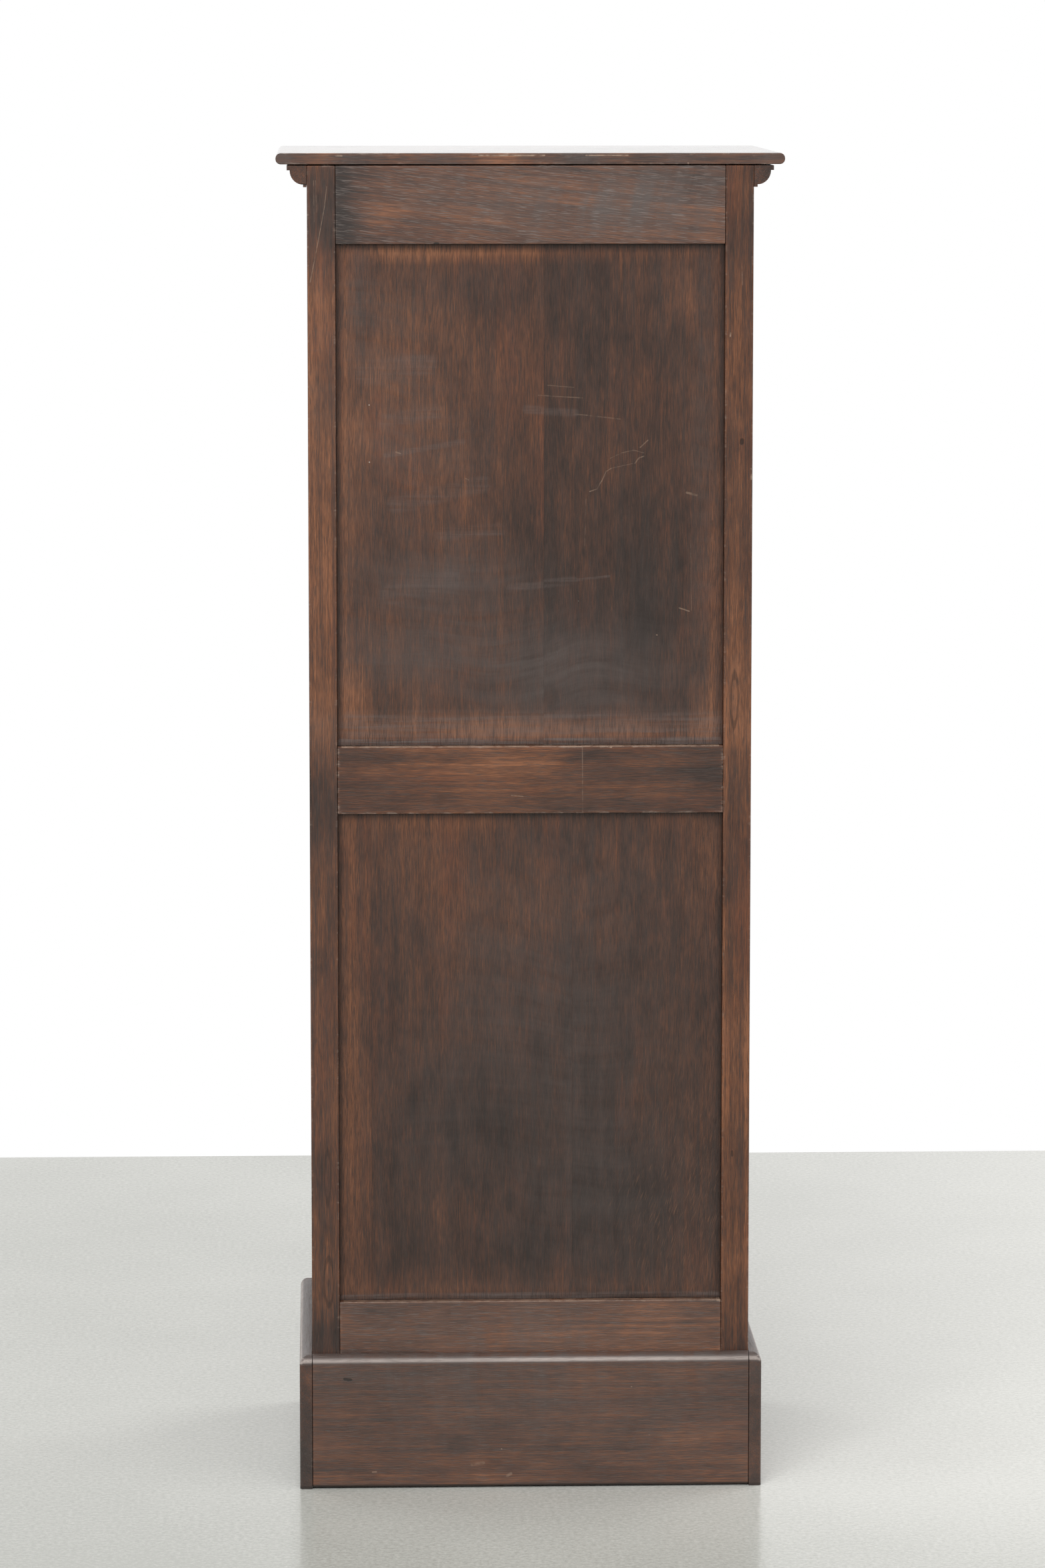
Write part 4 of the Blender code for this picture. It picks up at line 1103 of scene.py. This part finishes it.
LEFT_POST_SPOTS = whole_width(
    (
        (0.035, 0.03, -0.85, 0.1),
        (0.095, 0.025, 0.2, 0.0),
        (0.15, 0.08, 0.05, 0.22),
        (0.25, 0.19, 0.64, 0.0),
        (0.395, 0.03, 0.3, 0.0),
        (0.425, 0.018, 0.0, 0.3),
        (0.477, 0.027, -0.7, 0.0),
        (0.56, 0.055, 0.36, 0.0),
        (0.632, 0.02, 0.18, 0.0),
        (0.71, 0.05, 0.12, 0.0),
        (0.765, 0.02, -0.25, 0.0),
        (0.84, 0.032, 0.48, 0.05),
        (0.884, 0.014, -0.6, 0.0),
    )
)
RIGHT_POST_SPOTS = whole_width(
    (
        (0.05, 0.025, -0.3, 0.0),
        (0.15, 0.05, 0.58, 0.0),
        (0.265, 0.03, -0.1, 0.0),
        (0.385, 0.07, 0.6, 0.1),
        (0.418, 0.022, 0.42, 0.0),
        (0.475, 0.03, 0.28, 0.0),
        (0.66, 0.08, 0.52, 0.0),
        (0.693, 0.02, 0.15, 0.0),
        (0.753, 0.015, -0.12, 0.0),
        (0.81, 0.05, 0.42, 0.0),
        (0.875, 0.03, 0.3, 0.0),
    )
)
KNOB_SPOTS = ((0.5, 0.5, 0.3, 0.3, 0.5, 0.0),)
PLINTH_SPOTS = (
    (0.12, 0.42, 0.1, 0.16, 0.15, 0.0),
    (0.07, 0.92, 0.08, 0.07, 0.25, 0.0),
    (0.75, 0.8, 0.1, 0.1, 0.32, 0.0),
    (0.3, 0.8, 0.02, 0.05, 0.8, 0.0),
    (0.385, 0.9, 0.012, 0.05, 0.75, 0.0),
    (0.35, 0.3, 0.2, 0.3, 0.05, 0.35),
    (0.7, 0.45, 0.25, 0.3, 0.12, 0.3),
    (0.85, 0.7, 0.07, 0.14, 0.4, 0.0),
    (0.25, 0.68, 0.12, 0.15, -0.3, 0.0),
    (0.5, 0.95, NO_LIMIT, 0.05, 0.35, 0.0),
    # a paler, bloomed band just under the crest: painted highlight
    (0.5, 0.12, NO_LIMIT, 0.05, 0.15, 0.25),
    (0.5, 0.5, NO_LIMIT, NO_LIMIT, 0.05, 0.15),
)

# Top, cornice and plinth


def make_top():
    low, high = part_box("top_board")
    rounded = [("+x", "-y"), ("-x", "-y")]
    for side in ("+x", "-x", "-y"):
        rounded += [(side, "+z"), (side, "-z")]
    add_board(
        "top_board",
        low,
        high,
        0,
        polished_oak,
        rounds=[(rounded, TOP_ROUND)],
        edge=TOP_EDGE_ROUND,
        edge_wear=0.45,
        tone=0.25,
        spots=TOP_SPOTS,
    )


def cornice_profile(reach, drop):
    """Points out from the carcass and down from the top: a fillet, a quarter round and a small foot."""
    arc_reach = reach - CORNICE_STEP - CORNICE_FOOT_PROJECTION
    arc_drop = drop - CORNICE_FILLET - CORNICE_FOOT_HEIGHT
    points = [(0.0, 0.0), (reach, 0.0), (reach, -CORNICE_FILLET)]
    for step in range(CORNICE_ARC_STEPS + 1):
        angle = math.pi / 2 * step / CORNICE_ARC_STEPS
        out = CORNICE_FOOT_PROJECTION + arc_reach * math.cos(angle)
        points.append((out, -CORNICE_FILLET - arc_drop * math.sin(angle)))
    return points + [(CORNICE_FOOT_PROJECTION, -drop), (0.0, -drop)]


def sweep(rows):
    """A closed solid through rows of points, with flat ends."""
    bm = bmesh.new()
    grid = [[bm.verts.new(point) for point in row] for row in rows]
    skin(bm, grid)
    bm.faces.new(list(reversed(grid[0])))
    bm.faces.new(grid[-1])
    return bm


def make_cornice():
    front_low, front_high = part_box("cornice_front")
    left_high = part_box("cornice_left")[1]
    right_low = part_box("cornice_right")[0]
    reach = front_high.y - front_low.y
    profile = cornice_profile(reach, front_high.z - front_low.z)

    def front_point(out, drop, share):
        start = left_high.x - out
        return start + (right_low.x + out - start) * share, front_high.y - out, front_high.z + drop

    def side_point(sign, wall, end):
        def point(out, drop, share):
            start = front_high.y - out
            return wall + sign * out, start + (end - start) * share, front_high.z + drop

        return point

    runs = (
        ("cornice_front", 0, front_point),
        ("cornice_left", 1, side_point(-1, left_high.x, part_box("cornice_left")[1].y)),
        ("cornice_right", 1, side_point(1, right_low.x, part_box("cornice_right")[1].y)),
    )
    for node, grain, point in runs:
        shares = [step / CORNICE_RUN_STEPS for step in range(CORNICE_RUN_STEPS + 1)]
        bm = sweep([[point(out, drop, share) for out, drop in profile] for share in shares])
        age(bm, node, *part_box(node), grain, pores=0.4, edge_wear=0.0, tone=-0.4)
        material = cornice_oak if node == "cornice_right" else oak
        add_piece(f"aged_{node}", bm, [material], "carcass", [node])


def make_plinth():
    rounds = {
        "plinth_front": [([("-y", "+z"), ("+x", "+z"), ("-x", "+z")], PLINTH_ROUND)],
        "plinth_back": [([("+y", "+z")], PLINTH_ROUND), ([("+y", "-z")], FOOT_ROUND)],
    }
    for node, side in (("plinth_left", "-x"), ("plinth_right", "+x")):
        rounds[node] = [([(side, "+z"), ("+y", "+z")], PLINTH_ROUND), ([(side, "+y")], PLINTH_CORNER_ROUND)]
    # pale dust and painted sheen along the rounded top edges; painted contact shadow along the foot
    looks = {"edge": PLINTH_EDGE_ROUND, "pores": 0.3, "streaks": 0.4, "edge_wear": 0.25, "crown_dust_and_sheen": 1.0}
    for node, rounded in rounds.items():
        low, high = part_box(node)
        grain = 0 if node in ("plinth_front", "plinth_back") else 1
        spots = PLINTH_SPOTS if node == "plinth_back" else None
        tone = -0.45 if node in ("plinth_left", "plinth_right") else 0.10
        material = plinth_oak if node == "plinth_back" else waxed_oak
        add_board(node, low, high, grain, material, rounds=rounded, spots=spots, tone=tone, **looks)


# Posts, rails and panels


def make_back():
    posts = {
        "post_back_left": (right_post_oak, RIGHT_POST_SPOTS),
        "post_back_right": (left_post_oak, LEFT_POST_SPOTS),
    }
    for node, (material, spots) in posts.items():
        add_board(node, *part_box(node), 2, material, spots=spots, pores=0.15)
    rails = {
        "back_top_rail": (
            top_rail_oak,
            {"spots": TOP_RAIL_SPOTS, "pores": 0.75, "slope": 0.10, "edge_wear": 0.3},
        ),
        "back_middle_rail": (
            middle_rail_oak,
            {"spots": MIDDLE_RAIL_SPOTS, "pores": 0.25, "streaks": 0.3, "edge_wear": 0.65},
        ),
        "back_bottom_rail": (
            bottom_rail_oak,
            {"spots": BOTTOM_RAIL_SPOTS, "pores": 0.5, "streaks": 0.4, "edge_wear": 0.5},
        ),
    }
    span = (0, "post_back_left", "post_back_right")
    for node, (material, looks) in rails.items():
        add_board(node, *between(node, span), 0, material, **looks)
    panel_looks = {
        "streaks": 0.22,
        "pores": 0.1,
        "edge": BACK_PANEL_EDGE_ROUND,
        # painted shade and grime along the recessed border
        "edge_wear": -0.48,
        "band": SHADE_AND_GRIME_BAND,
    }
    upper = between("back_upper_panel", span, (2, "back_middle_rail", "back_top_rail"))
    add_board(
        "back_upper_panel",
        *upper,
        2,
        panel_oak,
        spots=UPPER_PANEL_SPOTS,
        splits=(0.535,),
        steps={0: 0.02, 1: -0.22},
        rub=0.32,
        **panel_looks,
    )
    lower = between("back_lower_panel", span, (2, "back_bottom_rail", "back_middle_rail"))
    add_board(
        "back_lower_panel",
        *lower,
        2,
        lower_panel_oak,
        spots=LOWER_PANEL_SPOTS,
        splits=(0.085, 0.61),
        steps={0: -0.02, 1: -0.20, 2: -0.25},
        flecks=LOWER_PANEL_FLECKS,
        rub=0.15,
        **panel_looks,
    )


def make_side(side):
    front = f"post_front_{side}"
    add_board(front, *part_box(front), 2, oak, pores=0.2)
    span = (1, front, f"post_back_{side}")
    for place in ("top", "middle", "bottom"):
        node = f"{side}_{place}_rail"
        add_board(node, *between(node, span), 1, oak, pores=0.4)
    looks = {
        "edge": SIDE_PANEL_EDGE_ROUND,
        # painted shade and grime along the recessed border
        "edge_wear": -0.6,
        "band": SHADE_AND_GRIME_BAND,
        "splits": (0.57,),
        "steps": {1: -0.15},
        "pores": 0.15,
        "streaks": 0.25,
        "rub": 0.35,
    }
    for place, under, over in (("upper", "middle", "top"), ("lower", "bottom", "middle")):
        node = f"{side}_{place}_panel"
        box = between(node, span, (2, f"{side}_{under}_rail", f"{side}_{over}_rail"))
        add_board(node, *box, 2, oak, **looks)


def make_front_rails():
    span = (0, "post_front_left", "post_front_right")
    for node in ("front_lintel", "front_middle_rail", "front_bottom_rail"):
        add_board(node, *between(node, span), 0, oak, pores=0.4)


# Drawers and knobs


def turned_solid(profile, centre, face):
    """A solid turned about an axis to the front; the profile is radius and reach from the face."""
    bm = bmesh.new()
    rings = [oval_ring(bm, centre, radius, radius, face - reach, KNOB_STEPS) for radius, reach in profile]
    skin(bm, rings)
    bm.faces.new(rings[0])
    bm.faces.new(list(reversed(rings[-1])))
    return bm


def knob_profile(radius, length):
    """From the tip to the spigot: a flattened round head, a waist, a collar and the spigot."""
    head = length * KNOB_HEAD_LENGTH
    middle = length - head / 2
    last = -math.acos(KNOB_NECK_RADIUS / radius)
    points = [(radius * KNOB_TIP_RADIUS, length - KNOB_TIP_DROP)]
    for step in range(1, KNOB_HEAD_STEPS + 1):
        angle = math.pi / 2 + (last - math.pi / 2) * step / KNOB_HEAD_STEPS
        points.append((radius * math.cos(angle) ** KNOB_HEAD_ROUND, middle + head / 2 * math.sin(angle)))
    neck = points[-1][1]
    for step in range(1, KNOB_WAIST_STEPS):
        share = step / KNOB_WAIST_STEPS
        waist = KNOB_NECK_RADIUS - KNOB_WAIST_DEPTH * math.sin(math.pi * share)
        points.append((waist, neck + (KNOB_COLLAR_HEIGHT - neck) * share))
    points.append((KNOB_NECK_RADIUS, KNOB_COLLAR_HEIGHT))
    points.append((KNOB_COLLAR_RADIUS - KNOB_COLLAR_BEVEL, KNOB_COLLAR_HEIGHT))
    points.append((KNOB_COLLAR_RADIUS, KNOB_COLLAR_HEIGHT - KNOB_COLLAR_BEVEL))
    points.append((KNOB_COLLAR_RADIUS, JOINT))
    points.append((SPIGOT_RADIUS, JOINT))
    points.append((SPIGOT_RADIUS, -SPIGOT_LENGTH + JOINT))
    return points


def make_knob(node, body):
    low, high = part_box(node)
    face = high.y - SPIGOT_LENGTH
    radius = (high.x - low.x) / 2
    centre = ((low.x + high.x) / 2, (low.z + high.z) / 2)
    bm = turned_solid(knob_profile(radius, face - low.y), centre, face)
    age(bm, node, low, high, 1, pores=0.1, edge_wear=0.0, tone=0.15, spots=KNOB_SPOTS)
    add_piece(f"aged_{node}", bm, [oak], body, [node])


def make_drawers():
    looks = {"pores": 0.3, "edge": DRAWER_EDGE_ROUND, "edge_wear": 0.8}
    for number in range(1, DRAWER_COUNT + 1):
        body = f"drawer_{number}"
        front = f"{body}_front"
        add_board(front, *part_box(front), 0, oak, body=body, **looks)
        make_knob(f"{body}_knob", body)


# Shutter


def slat_section(low, high, back, face):
    """Section of one slat, as points (y, z): flat behind, softly crowned in front."""
    points = []
    for step in range(SLAT_STEPS + 1):
        angle = math.pi * step / SLAT_STEPS
        z = low + (high - low) * (1 - math.cos(angle)) / 2
        points.append((back + (face - back) * max(0.0, math.sin(angle)) ** SLAT_CROWN, z))
    return points


def make_curtain():
    low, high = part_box("tambour_curtain")
    count = round((high.z - low.z) / SLAT_PITCH)
    pitch = (high.z - low.z) / count
    canvas_face = high.y - CANVAS_THICKNESS
    shares = [step / SLAT_RUN_STEPS for step in range(SLAT_RUN_STEPS + 1)]
    solids = []
    for number in range(count):
        foot = low.z + pitch * number + SLAT_GAP / 2
        section = slat_section(foot, foot + pitch - SLAT_GAP, canvas_face, low.y)
        xs = [low.x + (high.x - low.x) * share for share in shares]
        solid = sweep([[(x, y, z) for y, z in section] for x in xs])
        slat_low = Vector((low.x, low.y, foot))
        slat_high = Vector((high.x, high.y, foot + pitch))
        age(solid, f"slat {number}", slat_low, slat_high, 0, pores=0.3, edge_wear=0.15)
        solids.append(solid)
    canvas_low = Vector((low.x, canvas_face, low.z))
    backing = board_solid(canvas_low, high, edge=CANVAS_EDGE_ROUND, step=CANVAS_GRID_STEP)
    first_backing_face = sum(len(solid.faces) for solid in solids)
    solids.append(backing)
    bm = gather(solids)
    bm.faces.ensure_lookup_table()
    for face in bm.faces[first_backing_face:]:
        face.material_index = 1
    materials = [oak, canvas()]
    curtain = add_piece("aged_tambour_curtain", bm, materials, "shutter", ["tambour_curtain"])
    lift = next(joint for joint in frame["joints"] if joint["name"] == "shutter_lift")
    travel = lift["range_m"][1]
    1 - travel / (high.z - low.z)
    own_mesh(curtain)


def cut_hole(piece, centre, radius, front, depth):
    """Bores a round hole from the front into a piece."""
    bm = bmesh.new()
    middle = Matrix.Translation((centre[0], front + depth / 2, centre[1]))
    bmesh.ops.create_cone(
        bm,
        cap_ends=True,
        segments=KEYHOLE_STEPS,
        radius1=radius,
        radius2=radius,
        depth=depth * KEYHOLE_CUTTER,
        matrix=middle @ Matrix.Rotation(math.pi / 2, 4, "X"),
    )
    cutter = add_object("bore", mesh_of("bore", bm))
    modifier = piece.modifiers.new("bore", "BOOLEAN")
    modifier.object = cutter
    bpy.context.view_layer.update()
    bored = bpy.data.meshes.new_from_object(piece.evaluated_get(bpy.context.evaluated_depsgraph_get()))
    piece.modifiers.remove(modifier)
    piece.data = bored
    bpy.data.objects.remove(cutter, do_unlink=True)


def make_lead_rail():
    low, high = between("lead_rail", (0, "cheek_left", "cheek_right"))
    looks = {"pores": 0.3, "edge": LEAD_RAIL_EDGE_ROUND, "edge_wear": 0.9}
    rail = add_board("lead_rail", low, high, 0, oak, body="shutter", **looks)
    plate_low, plate_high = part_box("lock_plate")
    centre = ((plate_low.x + plate_high.x) / 2, (plate_low.z + plate_high.z) / 2)
    cut_hole(rail, centre, KEYHOLE_RADIUS, low.y, KEYHOLE_DEPTH)
    for side in ("left", "right"):
        make_knob(f"shutter_knob_{side}", "shutter")


def make_lock_plate():
    """An oval plate with a rolled rim and a round keyhole."""
    low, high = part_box("lock_plate")
    middle = (low + high) / 2
    half_width = (high.x - low.x) / 2
    half_height = (high.z - low.z) / 2
    thickness = high.y - low.y
    bm = bmesh.new()
    rings = []
    for share, rise in LOCK_PLATE_SECTION:
        width = KEYHOLE_RADIUS + (half_width - KEYHOLE_RADIUS) * share
        height = KEYHOLE_RADIUS + (half_height - KEYHOLE_RADIUS) * share
        y = high.y - thickness * rise
        rings.append(oval_ring(bm, (middle.x, middle.z), width, height, y, LOCK_PLATE_STEPS))
    skin(bm, [*rings, rings[0]])
    add_piece("aged_lock_plate", bm, [brass], "shutter", ["lock_plate"])


# CAD nodes that keep their shape


def dress_nodes():
    level = plain_wood("inner_oak_0", 0, INNER_OAK_TONES, 0.0, 0.44)
    upright = plain_wood("inner_oak_2", 2, INNER_OAK_TONES, 0.0, 0.44)
    dark = plain_wood("divider_oak", 0, DARK_OAK_TONES, 0.0, 0.38)
    box_side = max(corner.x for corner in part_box("drawer_1_box")) - DRAWER_SIDE
    box_wood = plain_wood("drawer_wood", 1, DRAWER_WOOD_TONES, 0.0, 0.52, cross=box_side)
    bottom_wood = plain_wood("drawer_bottom_wood", 0, DRAWER_WOOD_TONES, 0.05, 0.55)
    numbers = range(1, DRAWER_COUNT + 1)
    looks = (
        (upright, ("cheek_left", "cheek_right")),
        (level, ("bottom_board", "middle_board", "shelf", "inner_ceiling", "inner_back")),
        (dark, ("drawer_divider_1", "drawer_divider_2", "tambour_curtain_top", "tail_slat")),
        (steel, ("lock_bolt", "key")),
        (box_wood, [f"drawer_{number}_box" for number in numbers]),
        (bottom_wood, [f"drawer_{number}_bottom" for number in numbers]),
    )
    for material, nodes in looks:
        for node in nodes:
            for slot in NODES[node].material_slots:
                slot.material = material


# Studio

FLOOR_DARK = rgb(0.405, 0.411, 0.376)
FLOOR_PALE = rgb(0.800, 0.800, 0.760)
FLOOR_CLOUD_SCALE = (1.6, 1.6, 1.6)
FLOOR_GRIT_SCALE = (190.0, 190.0, 190.0)


def make_floor():
    root, finish = new_material("pale_floor")
    place = object_place(root)
    cloud = place.noise(FLOOR_CLOUD_SCALE, 5.0, 0.6)
    grit = place.noise(FLOOR_GRIT_SCALE, 4.0, 0.8)
    mix = (cloud * 1.5 - 0.25 + (grit - 0.5) * 3.6).clamped()
    across, back, _ = place.parts()
    # Painted light and shade: the floor is paler towards -x, and darker towards +y beside the cabinet's back,
    # as its painted shadow
    slope = (0 - across).rise(-0.9, 0.9) * 0.50 - back.rise(0.15, 0.80) * 0.42
    colour = root.blend(FLOOR_DARK, FLOOR_PALE, (mix * 0.40 + slope).clamped())
    rough = (cloud * 0.10 + 0.14).clamped()
    material = finish({"Base Color": colour, "Roughness": rough, "Specular IOR Level": 0.25})
    bm = bmesh.new()
    corners = ((-1, FLOOR_EDGE), (1, FLOOR_EDGE), (1, FLOOR_REACH), (-1, FLOOR_REACH))
    bm.faces.new([bm.verts.new((side * FLOOR_REACH, y, 0.0)) for side, y in corners])
    mesh = mesh_of("floor", bm)
    mesh.materials.append(material)
    floor = add_object("floor", mesh)


def make_world():
    """White to the camera and in reflections, and a plain ambient light on the object."""
    world = bpy.data.worlds.new("studio")
    bpy.context.scene.world = world
    world.use_nodes = True
    tree = world.node_tree
    tree.nodes.clear()
    root = Value(tree)
    path = root.node("ShaderNodeLightPath", {}, {}, "Is Camera Ray")
    seen = path.larger(path.output("Is Glossy Ray")).larger(path.output("Is Transmission Ray"))
    ambient = root.node("ShaderNodeBackground", {}, {"Color": rgb(1.0, 0.99, 0.97), "Strength": AMBIENT})
    white = root.node("ShaderNodeBackground", {}, {"Color": rgb(1.0, 1.0, 1.0), "Strength": 1.0})
    mixed = root.node("ShaderNodeMixShader", {}, {0: seen, 1: ambient, 2: white})
    root.node("ShaderNodeOutputWorld", {}, {"Surface": mixed})


def aim(obj, target):
    direction = Vector(target) - obj.location
    obj.rotation_euler = direction.to_track_quat("-Z", "Y").to_euler()


def make_lights():
    lights = {
        "back_light": BACK_LIGHT,
        "front_left_light": FRONT_LEFT_LIGHT,
        "front_right_light": FRONT_RIGHT_LIGHT,
        "top_light": TOP_LIGHT,
    }
    for name, (place, power) in lights.items():
        data = bpy.data.lights.new(name, "AREA")
        data.size = LIGHT_SIZE
        data.energy = power
        light = add_object(name, data)
        light.location = place
        light.visible_camera = False
        light.visible_glossy = False  # no white patches in the polished top and on the floor
        aim(light, LIGHT_TARGET)


def make_camera():
    data = bpy.data.cameras.new("camera")
    data.sensor_width = SENSOR
    data.lens = CAMERA_LENS
    camera = add_object("camera", data)
    camera.location = CAMERA_PLACE
    yaw = math.radians(CAMERA_YAW)
    pitch = math.radians(CAMERA_PITCH)
    ahead = (-math.sin(yaw) * math.cos(pitch), -math.cos(yaw) * math.cos(pitch), -math.sin(pitch))
    aim(camera, camera.location + Vector(ahead))
    bpy.context.scene.camera = camera


make_camera()
make_world()
make_lights()
make_floor()
make_top()
make_cornice()
make_plinth()
make_back()
make_side("left")
make_side("right")
make_front_rails()
make_drawers()
make_curtain()
make_lead_rail()
make_lock_plate()
dress_nodes()

bpy.context.scene.view_settings.view_transform = "Standard"
